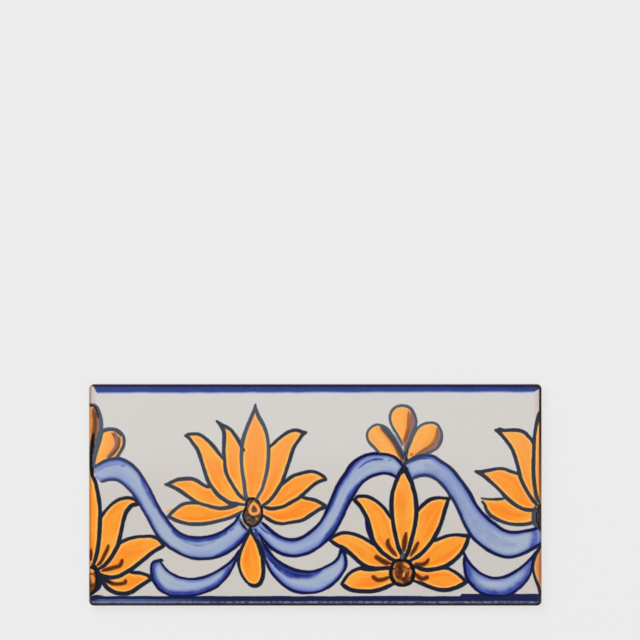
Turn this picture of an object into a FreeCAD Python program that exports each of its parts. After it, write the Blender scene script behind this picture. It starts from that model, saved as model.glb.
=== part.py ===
"""Glazed ceramic border tile: one pressed and fired slab that lies on its back, decorated face up.

Millimetres. +X runs along the border, +Y across it towards the top of the pattern, +Z out of the
face. The origin is the middle of the back, on the plane that the keyed ribs stand on.
"""

import FreeCAD, Part
import math
import os

import Sketcher

# Driving sizes in millimetres, apart from the two counts and the angle.
SIZES = {
    "length": 200.0,
    "width": 98.0,
    "thickness": 8.0,
    "corner_radius": 2.2,
    "face_edge_radius": 1.8,
    "back_edge_chamfer": 0.6,
    "rim_width": 6.0,
    "rib_width": 3.0,
    "key_depth": 0.8,
    "key_corner_radius": 2.5,
    "key_draft_angle": 30.0,
    "keys_along": 10,
    "keys_across": 5,
}
SHEET = "sizes"
PARTS_FOLDER = "parts"
ORIGIN_POINT = (-1, 1)
START, END = 1, 2
RIGHT_ANGLE = math.pi / 2
PLANE_TOLERANCE = 1e-6


def make_sheet(doc):
    """Write each driving size into its own aliased cell."""
    sheet = doc.addObject("Spreadsheet::Sheet", SHEET)
    for row, (alias, value) in enumerate(SIZES.items(), start=1):
        sheet.set(f"A{row}", alias)
        sheet.set(f"B{row}", str(value))
        sheet.setAlias(f"B{row}", alias)
    doc.recompute()
    return sheet


def cell(alias):
    """The expression that reads one size from the sheet."""
    return f"<<{SHEET}>>.{alias}"


def key_span(overall, count):
    """The expression for one key recess: what the rim and the ribs leave, shared out evenly."""
    ribs = f"({cell(count)} - 1) * {cell('rib_width')}"
    return f"({cell(overall)} - 2 * {cell('rim_width')} - {ribs}) / {cell(count)}"


def rounded_rectangle(sketch, size_x, size_y, radius):
    """Draw a rounded rectangle and bind its sides and corner radius to three expressions.

    The sides run anticlockwise from the bottom one (0 to 3), and each is followed by its corner arc.
    """
    half_x, half_y, arc_radius = 20.0, 10.0, 1.0
    inner_x, inner_y = half_x - arc_radius, half_y - arc_radius
    sides = [
        ((-inner_x, -half_y), (inner_x, -half_y)),
        ((half_x, -inner_y), (half_x, inner_y)),
        ((inner_x, half_y), (-inner_x, half_y)),
        ((-half_x, inner_y), (-half_x, -inner_y)),
    ]
    centres = [(inner_x, -inner_y), (inner_x, inner_y), (-inner_x, inner_y), (-inner_x, -inner_y)]
    normal = FreeCAD.Vector(0, 0, 1)
    lines, arcs = [], []
    for turn, (side, centre) in enumerate(zip(sides, centres)):
        ends = [FreeCAD.Vector(x, y, 0) for x, y in side]
        lines.append(sketch.addGeometry(Part.LineSegment(*ends)))
        circle = Part.Circle(FreeCAD.Vector(*centre, 0), normal, arc_radius)
        first = (turn - 1) * RIGHT_ANGLE
        arcs.append(sketch.addGeometry(Part.ArcOfCircle(circle, first, first + RIGHT_ANGLE)))
    for turn, (line, arc) in enumerate(zip(lines, arcs)):
        following = lines[(turn + 1) % len(lines)]
        sketch.addConstraint(Sketcher.Constraint("Tangent", line, END, arc, START))
        sketch.addConstraint(Sketcher.Constraint("Tangent", arc, END, following, START))
        sketch.addConstraint(Sketcher.Constraint("Vertical" if turn % 2 else "Horizontal", line))
    for arc in arcs[1:]:
        sketch.addConstraint(Sketcher.Constraint("Equal", arcs[0], arc))
    bottom, right, top, left = lines
    bound = [
        ("size_x", Sketcher.Constraint("DistanceX", left, START, right, START, 2 * half_x), size_x),
        ("size_y", Sketcher.Constraint("DistanceY", bottom, START, top, START, 2 * half_y), size_y),
        ("radius", Sketcher.Constraint("Radius", arcs[0], arc_radius), radius),
    ]
    for name, constraint, expression in bound:
        bind_constraint(sketch, name, constraint, expression)
    return bottom, right, top, left


def bind_constraint(sketch, name, constraint, expression):
    """Add a named constraint whose value follows an expression."""
    index = sketch.addConstraint(constraint)
    sketch.renameConstraint(index, name)
    sketch.setExpression(f"Constraints.{name}", expression)


def sketch_on_back(body, name):
    """A new sketch on the body's own XY plane, which is the plane of the back."""
    plane = next(f for f in body.Origin.OriginFeatures if f.Role == "XY_Plane")
    sketch = body.newObject("Sketcher::SketchObject", name)
    sketch.AttachmentSupport = [(plane, "")]
    sketch.MapMode = "FlatFace"
    return sketch


def edges_at_height(shape, height):
    """Names of the edges that lie wholly in one horizontal plane."""
    return [
        f"Edge{number}"
        for number, edge in enumerate(shape.Edges, start=1)
        if abs(edge.BoundBox.ZMin - height) < PLANE_TOLERANCE
        and abs(edge.BoundBox.ZMax - height) < PLANE_TOLERANCE
    ]


def pad_slab(body):
    """The pressed slab, with rounded corners in plan."""
    outline = sketch_on_back(body, "outline")
    bottom, _, top, _ = rounded_rectangle(
        outline, cell("length"), cell("width"), cell("corner_radius")
    )
    centred = Sketcher.Constraint("Symmetric", bottom, START, top, START, *ORIGIN_POINT)
    outline.addConstraint(centred)
    slab = body.newObject("PartDesign::Pad", "slab")
    slab.Profile = outline
    slab.setExpression("Length", cell("thickness"))
    return slab


def round_face_edges(body, slab, sheet):
    """The soft edge that the glaze rolls over, all the way round the face."""
    roll = body.newObject("PartDesign::Fillet", "face_edge_roll")
    roll.Base = (slab, edges_at_height(slab.Shape, sheet.thickness))
    # The roll goes round the corners too, so it stays inside their radius.
    roll.setExpression("Radius", f"min({cell('face_edge_radius')}; 0.95 * {cell('corner_radius')})")
    return roll


def break_back_edges(body, roll):
    """The small bevel that the press leaves round the back."""
    bevel = body.newObject("PartDesign::Chamfer", "back_edge_bevel")
    bevel.Base = (roll, edges_at_height(roll.Shape, 0.0))
    bevel.setExpression("Size", cell("back_edge_chamfer"))
    return bevel


def press_key_recess(body):
    """One shallow drafted recess for the adhesive, against the rim in the corner of the back."""
    outline = sketch_on_back(body, "key_outline")
    along, across = key_span("length", "keys_along"), key_span("width", "keys_across")
    corner = f"min({cell('key_corner_radius')}; 0.45 * {along}; 0.45 * {across})"
    bottom, _, _, left = rounded_rectangle(outline, along, across, corner)
    from_left = Sketcher.Constraint("DistanceX", left, START, *ORIGIN_POINT, 40.0)
    from_bottom = Sketcher.Constraint("DistanceY", bottom, START, *ORIGIN_POINT, 40.0)
    bind_constraint(outline, "from_left", from_left, f"{cell('length')} / 2 - {cell('rim_width')}")
    bind_constraint(outline, "from_bottom", from_bottom, f"{cell('width')} / 2 - {cell('rim_width')}")
    key = body.newObject("PartDesign::Pocket", "key_recess")
    key.Profile = outline
    key.Reversed = True
    key.setExpression("Length", cell("key_depth"))
    key.setExpression("TaperAngle", f"-{cell('key_draft_angle')}")
    return key


def repeat_key_recess(body, key):
    """The grid of recesses that leaves the ribs standing between them."""
    axes = {feature.Role: feature for feature in body.Origin.OriginFeatures}
    grid = body.newObject("PartDesign::LinearPattern", "key_grid")
    grid.Originals = [key]
    for suffix, axis, overall, count in (
        ("", "X_Axis", "length", "keys_along"),
        ("2", "Y_Axis", "width", "keys_across"),
    ):
        setattr(grid, f"Direction{suffix}", (axes[axis], [""]))
        setattr(grid, f"Mode{suffix}", "Extent")
        first_to_last = f"{cell(overall)} - 2 * {cell('rim_width')} - {key_span(overall, count)}"
        grid.setExpression(f"Length{suffix}", first_to_last)
        grid.setExpression(f"Occurrences{suffix}", cell(count))
    body.Tip = grid
    return grid


def make_tile(doc, sheet):
    """The whole tile as one body."""
    body = doc.addObject("PartDesign::Body", "tile")
    body.Label = "tile"
    slab = pad_slab(body)
    doc.recompute()
    roll = round_face_edges(body, slab, sheet)
    doc.recompute()
    break_back_edges(body, roll)
    doc.recompute()
    key = press_key_recess(body)
    doc.recompute()
    repeat_key_recess(body, key)
    doc.recompute()
    return body


def check(doc, body):
    """Stop if any feature failed or the tile is not one sound solid."""
    for feature in doc.Objects:
        if {"Invalid", "Error"} & set(feature.State):
            raise RuntimeError(f"{feature.Label} failed: {feature.State}")
    if body.Shape.isNull() or not body.Shape.isValid() or len(body.Shape.Solids) != 1:
        raise RuntimeError("the tile is not one valid solid")


def main():
    doc = FreeCAD.newDocument("border_tile")
    sheet = make_sheet(doc)
    tile = make_tile(doc, sheet)
    check(doc, tile)
    os.makedirs(PARTS_FOLDER, exist_ok=True)
    tile.Shape.exportStep(os.path.join(PARTS_FOLDER, f"{tile.Label}.step"))
    box = tile.Shape.BoundBox
    print(f"tile {box.XLength:.2f} x {box.YLength:.2f} x {box.ZLength:.2f} mm")
    print(f"volume {tile.Shape.Volume:.0f} mm3 in {len(tile.Shape.Faces)} faces")


main()
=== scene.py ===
"""Hand-painted border tile: a glazed ceramic slab with lotus flowers, buds and a scrolling ribbon.

The slab is in metres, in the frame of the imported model. The painting is laid out in tile
millimetres: x along the border, y across it, both from the middle of the face.
"""

import logging
from dataclasses import dataclass, field
from enum import Enum

import bmesh
import bpy
import numpy as np
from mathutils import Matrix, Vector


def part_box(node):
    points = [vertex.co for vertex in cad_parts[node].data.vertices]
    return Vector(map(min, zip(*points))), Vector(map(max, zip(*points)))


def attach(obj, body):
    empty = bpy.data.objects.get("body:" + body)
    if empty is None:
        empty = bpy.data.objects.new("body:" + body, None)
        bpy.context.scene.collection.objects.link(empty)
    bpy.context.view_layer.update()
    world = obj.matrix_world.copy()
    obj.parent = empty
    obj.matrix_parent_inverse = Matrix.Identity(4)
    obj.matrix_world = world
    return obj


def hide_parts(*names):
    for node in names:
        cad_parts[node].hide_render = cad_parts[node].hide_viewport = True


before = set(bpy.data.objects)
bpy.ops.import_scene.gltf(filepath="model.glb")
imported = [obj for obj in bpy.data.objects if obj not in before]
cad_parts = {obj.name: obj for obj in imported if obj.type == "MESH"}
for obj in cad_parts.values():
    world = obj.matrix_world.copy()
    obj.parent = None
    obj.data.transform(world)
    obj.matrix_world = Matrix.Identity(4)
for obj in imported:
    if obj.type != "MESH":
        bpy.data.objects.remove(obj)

MM = 0.001
TILE_NODE = "tile"
TILE_BODY = "root"
SEED = 17
# Washes up to this width, in millimetres, are made with the fine brush
FINE_BRUSH = 2.1
# Share of the width that a stroke gains by its second point, unless it has only so many points
PRESS_DOWN = 0.6
SHORT_STROKE = 3

Colour = tuple[float, float, float]
Points = list[tuple[float, float]]
Grain = tuple[float, float]
Step = tuple[float, ...]
log = logging.getLogger("border_tile")


def srgb(red: float, green: float, blue: float) -> Colour:
    """Turn a colour as a screen shows it into the linear one that a shader takes.

    Args:
        red: Red from 0 to 255.
        green: Green from 0 to 255.
        blue: Blue from 0 to 255.

    Returns:
        The linear colour.
    """
    shares = [part / 255.0 for part in (red, green, blue)]
    return tuple(s / 12.92 if s <= 0.04045 else ((s + 0.055) / 1.055) ** 2.4 for s in shares)


def trace(text: str) -> Points:
    """Read a brush path, written as pairs of tile millimetres.

    Args:
        text: Pairs "x,y", parted by spaces.

    Returns:
        The points in order.
    """
    return [tuple(float(part) for part in pair.split(",")) for pair in text.split()]


def placed(name: str, data: bpy.types.ID) -> bpy.types.Object:
    """Put data into the scene as a new object.

    Args:
        name: The object's name.
        data: Its mesh, curves, light or camera.

    Returns:
        The object.
    """
    made = bpy.data.objects.new(name, data)
    bpy.context.scene.collection.objects.link(made)
    return made


class Round(Enum):
    """The order in which the painter went round the tile with the dark outline brush."""

    RIBBON = "ribbon_lines"
    LONG = "petal_lines"
    SHORT = "petal_returns"
    BUD = "bud_lines"


class Tint(Enum):
    """The other brushes: broad and fine cobalt wash, iron brown, and a soft one.

    The soft brush shades the orange of the buds with mauve, and wipes light marks into the hearts.
    """

    WASH = "cobalt_wash"
    STREAK = "cobalt_streak"
    IRON = "iron_brown"
    SOFT = "soft_marks"


class Ground(Enum):
    """What fills an outlined shape, as the share of each of the four ground colours."""

    ORANGE = (1.0, 0.0, 0.0, 0.0)
    RIBBON = (0.0, 1.0, 0.0, 0.0)
    HEART = (0.0, 0.0, 1.0, 0.0)
    STRIPE = (0.0, 0.0, 0.0, 1.0)


@dataclass(frozen=True)
class Stroke:
    """One pull of the brush.

    Attributes:
        path: The points it goes through.
        width: Its width where the brush is fully down, in millimetres.
        head: Share of the width at its first point.
        foot: Share of the width at its last point.
        tone: How much pigment it carries; a wash below zero lifts the colour.
        late_tone: How much it still carries at its last point, where that differs.
    """

    path: str
    width: float
    head: float = 0.45
    foot: float = 0.6
    tone: float = 1.0
    late_tone: float | None = None

    def radii(self) -> list[float]:
        """Half the width at each point, drawn in at both ends."""
        count = len(trace(self.path))
        shares = np.ones(count)
        shares[0], shares[-1] = self.head, self.foot
        if count > SHORT_STROKE:
            shares[1] = 0.5 + 0.5 * min(1.0, self.head + PRESS_DOWN)
        return [0.5 * self.width * float(share) for share in shares]

    def tones(self) -> list[float]:
        """The pigment at each point, from head to foot."""
        late = self.tone if self.late_tone is None else self.late_tone
        return list(np.linspace(self.tone, late, len(trace(self.path))))


@dataclass(frozen=True)
class Patch:
    """A filled shape between two edges that both run from its tip to its root.

    Attributes:
        one: One edge.
        other: The other edge.
        ground: Its colour.
        layer: Its place in the painting order; a higher one covers a lower one.
    """

    one: str
    other: str
    ground: Ground
    layer: int


@dataclass
class Painting:
    """All that the painter put on the tile, sorted by brush."""

    strokes: dict[Round | Tint, list[Stroke]] = field(
        default_factory=lambda: {kind: [] for kind in (*Round, *Tint)}
    )
    patches: list[Patch] = field(default_factory=list)


@dataclass(frozen=True)
class Petal:
    """A petal drawn with two lines from its tip.

    Attributes:
        long: The line from the tip to the heart.
        short: The line from the tip to the petal beside it.
        root: Where the fill goes on under the petal beside it.
        layer: Its place in the painting order.
        short_width: Width of the short line in millimetres.
        tone: Share of the flower's tone that its lines have.
    """

    long: str
    short: str
    root: str
    layer: int
    short_width: float = 1.65
    tone: float = 1.0


@dataclass
class LotusFlower:
    """A lotus seen from the side, with its fan of petals.

    Attributes:
        petals: The petals from the outside in.
        line_width: Width of the long lines in millimetres.
        tone: How dark the outline is.
        tip: Share of their width that the lines have at the tip.
    """

    petals: list[Petal]
    line_width: float
    tone: float = 1.0
    tip: float = 0.8

    def paint(self, painting: Painting) -> None:
        """Put the petals on the tile.

        Args:
            painting: The painting that they are added to.
        """
        for petal in self.petals:
            edge = f"{petal.short} {petal.root}"
            tone = self.tone * petal.tone
            painting.patches.append(Patch(petal.long, edge, Ground.ORANGE, petal.layer))
            pull = Stroke(petal.long, self.line_width, self.tip, tone=tone)
            back = Stroke(petal.short, petal.short_width, self.tip, self.tip, tone)
            painting.strokes[Round.LONG].append(pull)
            painting.strokes[Round.SHORT].append(back)


@dataclass
class Ribbon:
    """A length of the pale blue scroll, or one of the crescents under it.

    Attributes:
        upper: The upper edge.
        lower: The lower edge.
        fill_upper: Upper edge of the fill where it leaves the line, or nothing.
        fill_lower: Lower edge of the fill where it leaves the line, or nothing.
        upper_width: Width of the upper line in millimetres.
        lower_width: Width of the lower line in millimetres.
        tone: How dark the lines start.
        late_tone: How dark they end.
        layer: Its place in the painting order.
        ends: Shares of their width that the lines have at their ends.
    """

    upper: str
    lower: str
    fill_upper: str = ""
    fill_lower: str = ""
    upper_width: float = 1.4
    lower_width: float = 1.35
    tone: float = 1.0
    late_tone: float = 1.0
    layer: int = 1
    ends: tuple[float, float] = (0.6, 0.7)

    def paint(self, painting: Painting) -> None:
        """Put the ribbon on the tile.

        Args:
            painting: The painting that it is added to.
        """
        upper, lower = self.fill_upper or self.upper, self.fill_lower or self.lower
        painting.patches.append(Patch(upper, lower, Ground.RIBBON, self.layer))
        for path, width in ((self.upper, self.upper_width), (self.lower, self.lower_width)):
            line = Stroke(path, width, *self.ends, self.tone, self.late_tone)
            painting.strokes[Round.RIBBON].append(line)


@dataclass
class Lobe:
    """A rounded leaf of a bud, or a hanging drop, outlined in one or two pulls.

    Attributes:
        one: One side, from the far end to the root.
        other: The other side, from the far end to the root.
        width: Width of the outline in millimetres.
        tone: How dark the first side's line is.
        other_tone: How dark the second side's line is.
        layer: Its place in the painting order.
        ground: What it is filled with.
        drawn: Whether it has an outline of its own.
        ends: Shares of its width that the outline has at its ends.
    """

    one: str
    other: str
    width: float = 1.4
    tone: float = 0.9
    other_tone: float = 0.9
    layer: int = 5
    ground: Ground = Ground.ORANGE
    drawn: bool = True
    ends: tuple[float, float] = (1.0, 0.8)

    def paint(self, painting: Painting) -> None:
        """Put the lobe on the tile.

        Args:
            painting: The painting that it is added to.
        """
        painting.patches.append(Patch(self.one, self.other, self.ground, self.layer))
        if self.drawn:
            for path, tone in ((self.one, self.tone), (self.other, self.other_tone)):
                painting.strokes[Round.BUD].append(Stroke(path, self.width, *self.ends, tone))


@dataclass
class Touches:
    """Loose strokes that belong to no filled shape.

    Attributes:
        brush: The brush that they were made with.
        strokes: The strokes.
    """

    brush: Round | Tint
    strokes: list[Stroke]

    def paint(self, painting: Painting) -> None:
        """Put the strokes on the tile."""
        painting.strokes[self.brush].extend(self.strokes)


def tall_flower() -> LotusFlower:
    """The open flower on the left, whose heart sits on the ribbon."""
    petals = [
        Petal("-66.2,4.7 -63.7,3.9 -60,2 -56,-.8 -52,-3.3 -47.6,-4.7 -44.9,-5.5 -42,-5.9 -39.3,-5.7 "
              "-36.9,-5.1 -33.5,-4.2",
              "-65.6,4.6 -64.6,5.1 -62.5,6.1 -60.7,6.8 -58.5,7.1 -56.4,7.2 -54.3,7.1 -52.4,6.4 -50.8,5.3 "
              "-49.2,4.3 -47.6,3.6 -46,3.7",
              "-42,-1 -33,-4", 2),
        Petal("-64.9,-9.3 -63.1,-10.4 -60.7,-11.5 -56.4,-12.7 -53.2,-12.9 -50,-12.8 -46.8,-12.4 "
              "-43.6,-11.7 -40.4,-10.9 -37.7,-10.1 -35.6,-9.2 -34,-8.4 -32.6,-7.3",
              "-64.7,-9 -63.1,-7.5 -61.5,-6.1 -59.6,-4.7 -57.7,-3.9 -55.6,-3.5 -53.7,-3.5 -51,-3.8",
              "-45,-5.4 -38,-5.6 -31,-5.5", 2),
        Petal("-57.3,26.2 -55.6,24.9 -54,22.7 -52.3,20.5 -51.2,18 -49.6,12.8 -47.9,7.5 -46.7,5 -44.9,2.5 "
              "-42.9,0 -40.3,-2 -37.7,-3.5 -34.5,-4 -31.2,-4.3",
              "-56.4,26.9 -54,26.9 -52,26.9 -50.2,26.2 -48.2,24.7 -46.3,23 -44.4,20.8 -42.8,18.6 "
              "-40.3,15.5",
              "-38,6 -31,-3", 3),
        Petal("-43.5,32.6 -41.6,30.4 -40.4,28 -40.2,25 -40.4,20 -40.1,16 -39.4,10 -36.9,5 -33.6,0 "
              "-30.8,-2.3",
              "-43.2,32.4 -41.5,31.2 -39.6,30.3 -37.3,28.8 -35.7,26.8 -34.3,24.6 -33.2,22.4 -32.2,20.6 "
              "-31.4,19.7",
              "-30,10 -29,-2", 4),
        Petal("4.9,-5.2 3.7,-5.6 1.6,-6.5 -.5,-7.9 -2.7,-9.3 -4.8,-10.7 -6.9,-11.5 -9.3,-11.9 -11.7,-12.3 "
              "-14.2,-12.7 -16.9,-12.4 -19.1,-11.6 -21.2,-10.4 -23.2,-8.9",
              "4.9,-5.2 4,-4.5 2.4,-3.5 .5,-2.5 -1.6,-1.9 -3.7,-1.5 -5.8,-1",
              "-13,-4.5 -19,-6 -24,-6", 2, tone=1.2),
        Petal("4.7,6.7 2.7,6.3 .5,5.3 -1.6,3.7 -3.5,2 -5.6,.1 -7.7,-1.6 -9.9,-2.8 -12,-4 -14.1,-5.1 "
              "-16,-5.6 -19.3,-6.1 -21.2,-5.7 -23.4,-4.9",
              "4.7,6.9 3.7,8.1 2.1,9.2 0,10.1 -2.1,10.4 -4.8,10 -7.5,9.2 -9.9,8.4 -12,6.9 -14.3,4.9",
              "-19,-1 -25,-4", 3, tone=1.2),
        Petal("-4.2,27.6 -5.7,26.5 -7,24.6 -8.4,22.7 -9.5,20.8 -10.3,18.6 -11.7,14.2 -13.1,9.9 -14.7,5.6 "
              "-15.9,3.5 -17.2,1.3 -18.5,-.5 -20.1,-2.4 -21.7,-3.7 -23.7,-4.8",
              "-4.2,27.6 -5.7,27.7 -7,28.3 -8.7,28.6 -10.6,28.3 -12.5,27.5 -14.4,26.2 -16.3,24.7 -18,23.1 "
              "-20.3,21.1",
              "-24,10 -26,-2", 4, tone=1.1),
        Petal("-26.5,39.8 -26.8,38 -28,35 -30.1,30 -31.8,25 -32.5,20 -32.6,15 -32.2,10 -31.4,5 -30.8,0 "
              "-29.6,-2",
              "-26.5,39.2 -25.2,35 -22.5,30 -21.1,25 -20.6,20 -20.8,15 -21.5,10 -22.8,5 -23.7,2.2 -25,0 "
              "-25.9,-2",
              "-26,-3", 5, 1.7, 0.75),
    ]
    return LotusFlower(petals, line_width=1.75, tone=0.68)


def low_flower() -> LotusFlower:
    """The flower under the arch of the ribbon, whose heart sits near the lower stripe."""
    petals = [
        Petal("11.7,-39.3 13.1,-40.4 14.9,-41.5 17.3,-42.3 20,-42.5 22.7,-42.6 25.3,-42.5 28,-41.9 "
              "30.1,-41.2 32,-40.4 35.2,-39",
              "11.7,-39.1 12.8,-37.5 14.1,-35.6 15.7,-34.1 17.6,-33.1 19.7,-32.4 21.6,-31.9",
              "28,-33 35,-33", 2),
        Petal("66.7,-38.5 65.3,-39.3 63.2,-40.4 61.1,-41.2 58.7,-41.9 56.3,-42 53.9,-41.7 51.5,-40.9 "
              "49.3,-40.1 47.2,-39.2 42.6,-37.6",
              "66.4,-38.2 64.5,-36.3 62.9,-34.9 61.1,-33.7 59.2,-32.8",
              "52,-33.2 43,-33", 2),
        Petal("6.5,-20 8,-21.1 10.1,-22.4 12.3,-23.3 14.1,-24.7 16,-26.3 17.9,-28.1 20,-30 22.1,-31.3 "
              "24.5,-32.1 26.9,-32.4 29.3,-32.4 32,-32.2 34.5,-32.6",
              "6.7,-19.6 8.5,-18.1 10.4,-17.2 12.5,-16.7 14.7,-16.8 16.8,-17.2 18.9,-17.9 21.1,-18.9 "
              "22.9,-20 26,-22",
              "31,-27 36,-30", 3),
        Petal("67.7,-18.6 66.7,-21.7 65.3,-24.4 63.5,-26.8 61.3,-28.9 59.2,-30.5 57.1,-31.6 54.7,-32.4 "
              "52,-32.9 49.3,-33.1 47.2,-32.8 45.6,-32.1 43,-31",
              "67.7,-18.1 66.1,-17.9 64,-17.7 61.9,-17.6 59.7,-17.8 57.6,-18.3 55.5,-19.1 53.6,-19.9 "
              "52,-20.4",
              "47,-26 41,-30", 3),
        Petal("17.1,-1.9 17.7,-2.7 19.1,-4.1 20.4,-5.9 21.7,-8.1 22.8,-10.2 23.6,-12.6 24.3,-15 24.9,-17.4 "
              "25.5,-20 26.5,-21.7 28,-23.7 29.7,-25.5 31.7,-27 33.6,-28.3 36.5,-29.4",
              "17.5,-1.7 18.8,-.7 20.4,-.5 22.5,-.6 24.7,-1.4 26.8,-2.6 28.7,-4.1 30.3,-5.7 31.6,-7.5 "
              "33.7,-10.7",
              "36,-20 38,-28", 4),
        Petal("58.9,-1.8 58.1,-3.8 57.5,-5.9 56.8,-8.3 56,-11 55.1,-13.7 53.9,-16.3 52.6,-18.7 51.2,-20.9 "
              "49.3,-23.3 47.2,-25.5 45.1,-27.2 41.5,-29.2",
              "59.2,-1.4 57.9,-1.5 55.7,-1.3 53.6,-1.3 51.6,-1.7 49.8,-2.5 48.1,-3.9 46.5,-5.4 45.3,-7",
              "42.5,-18 39,-28", 4),
        Petal("38.9,13 38.8,11.9 37.7,10.3 36.8,8.7 36.1,7.1 35.3,5 34.5,2.6 33.9,.2 33.6,-4.6 34,-9.7 "
              "34.8,-15 35.9,-20 36.7,-23 37.6,-25 38.9,-28",
              "38.9,13 39.9,11.1 40.7,9.3 41.7,7.1 42.7,5 43.3,2.6 44,.2 44.6,-4.6 44.5,-9.7 43.7,-15 "
              "42.4,-20 41,-25 39.4,-28",
              "39,-29", 5, 2.1),
    ]
    return LotusFlower(petals, line_width=1.95)


def half_low_flower() -> LotusFlower:
    """The right half of the low flower, where the left end of the tile cuts it."""
    petals = [
        Petal("-72.1,-37.1 -73.6,-37.8 -75.4,-39 -77.2,-40.2 -79,-41.5 -80.7,-42.6 -82.5,-43.3 -84.5,-43.6 "
              "-86.6,-43.5 -88.6,-43 -90.4,-42.1 -91.9,-40.9 -93.1,-39.6 -95,-37.9",
              "-71.9,-36.8 -72.9,-36.3 -74.1,-35.5 -75.7,-34.9 -77.7,-34.4 -79.7,-34.3 -81.7,-34",
              "-88,-36 -96,-36", 2),
        Petal("-67,-22.5 -68.6,-23.4 -70.6,-24.6 -72.6,-25.9 -74.4,-27.4 -76.2,-28.9 -78.2,-30.5 -80.2,-32 "
              "-82.3,-33.4 -84.3,-34.6 -86.3,-35.7 -88.3,-36.3 -90.4,-36.4 -93.4,-35.8 -95.6,-34.6",
              "-67.3,-21.9 -69.2,-19.5 -70.6,-18.8 -72.1,-18.3 -74.1,-18.2 -76.2,-18.3 -78.2,-18.4 "
              "-80.2,-18.8 -82.3,-19.3 -84.3,-20.1 -86.4,-21.3",
              "-92,-30 -97,-34", 3),
        Petal("-78.3,-4.2 -80,-4.3 -81,-4.6 -82,-5.5 -83,-6.8 -83.8,-8.3 -84.4,-10.1 -84.9,-12.1 "
              "-85.8,-16.5 -86.8,-20.8 -87.3,-22.6 -88.3,-24.4 -89.3,-26.2 -90.6,-28.2 -92.1,-30 "
              "-93.7,-31.5 -96.5,-33",
              "-78.5,-3.3 -79.5,-2.1 -80.7,-1.6 -82.8,-1.2 -84.8,-1.5 -86.6,-2 -88.3,-2.9 -90.1,-4.3 "
              "-91.6,-5.8 -92.9,-7.3 -94.3,-9.4 -95,-11",
              "-97,-26 -98,-32", 4),
        Petal("-98.5,8.4 -97.6,6.8 -96.9,5 -96.4,2.5 -95.9,0 -95.4,-2.5 -95.15,-5 -95,-7.5 -95,-10 "
              "-95.2,-15 -95.6,-20.3 -96.2,-24.9 -96.7,-26.9 -97.3,-28.9 -98.2,-31.2",
              "-103,8 -105,0 -106,-15 -104,-25 -102,-31", "-101,-32", 5, 1.8),
    ]
    return LotusFlower(petals, line_width=1.95, tone=0.92)


def half_tall_flower() -> LotusFlower:
    """The left half of the tall flower, where the right end of the tile cuts it."""
    petals = [
        Petal("73.7,-3 74.8,-4.3 75.3,-5.9 76.4,-7.8 78,-9.4 80.1,-10.7 82.5,-11.8 85.2,-12.6 87.9,-13 "
              "90.5,-13.1 93.2,-12.9 95.6,-12.3 97.4,-11.4",
              "73.4,-1.4 75.3,-1.8 77.5,-1.9 79.6,-1.9 81.7,-1.8 82.8,-1.7",
              "90,-5.5 98,-6", 2, 1.3),
        Petal("70.7,10.4 72.7,9.5 74.8,8.1 76.9,6.3 79.1,4.3 81.2,2.3 83.1,.2 84.9,-1.7 87.1,-3.5 "
              "89.5,-5.1 91.9,-6.2 94.3,-6.6 96.4,-6.6 98,-6.2",
              "70.7,10.5 72.7,10.2 74.3,10.5 76.4,10.9 78.5,11.3 80.7,11.6 82.3,11.6 84.1,11.3 86,10.5 "
              "89.7,9.4",
              "95,0 99,-5", 3),
        Petal("79.6,28.6 81,27.7 82.5,26.2 84,24.4 85.5,22.4 86.8,20.4 87.7,18.3 88.5,16 89.1,13.8 90.1,10 "
              "90.5,7.9 91.3,5.8 92.7,3.1 94,.7 95.6,-1.7 96.9,-3.3 98.6,-5",
              "80.2,28.6 81.5,29 83.3,28.5 85.3,28.6 87.3,28.7 89.3,28.6 91.4,28.1 92.9,27.2 94.1,25.9 "
              "95.2,24.7 96.4,22.4",
              "98,10 100,-3", 4),
        Petal("99.6,37.2 98.8,35.6 98.3,33.8 97.3,29.5 96.7,24.7 96.4,17.1 96.3,12 96.4,8.2 96.7,5 "
              "97.1,2.1 97.7,-.6 98.8,-3.2",
              "102,37 105,30 106,15 104,3 102,-2", "101,-3", 5),
    ]
    return LotusFlower(petals, line_width=1.75, tone=0.75)


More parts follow.
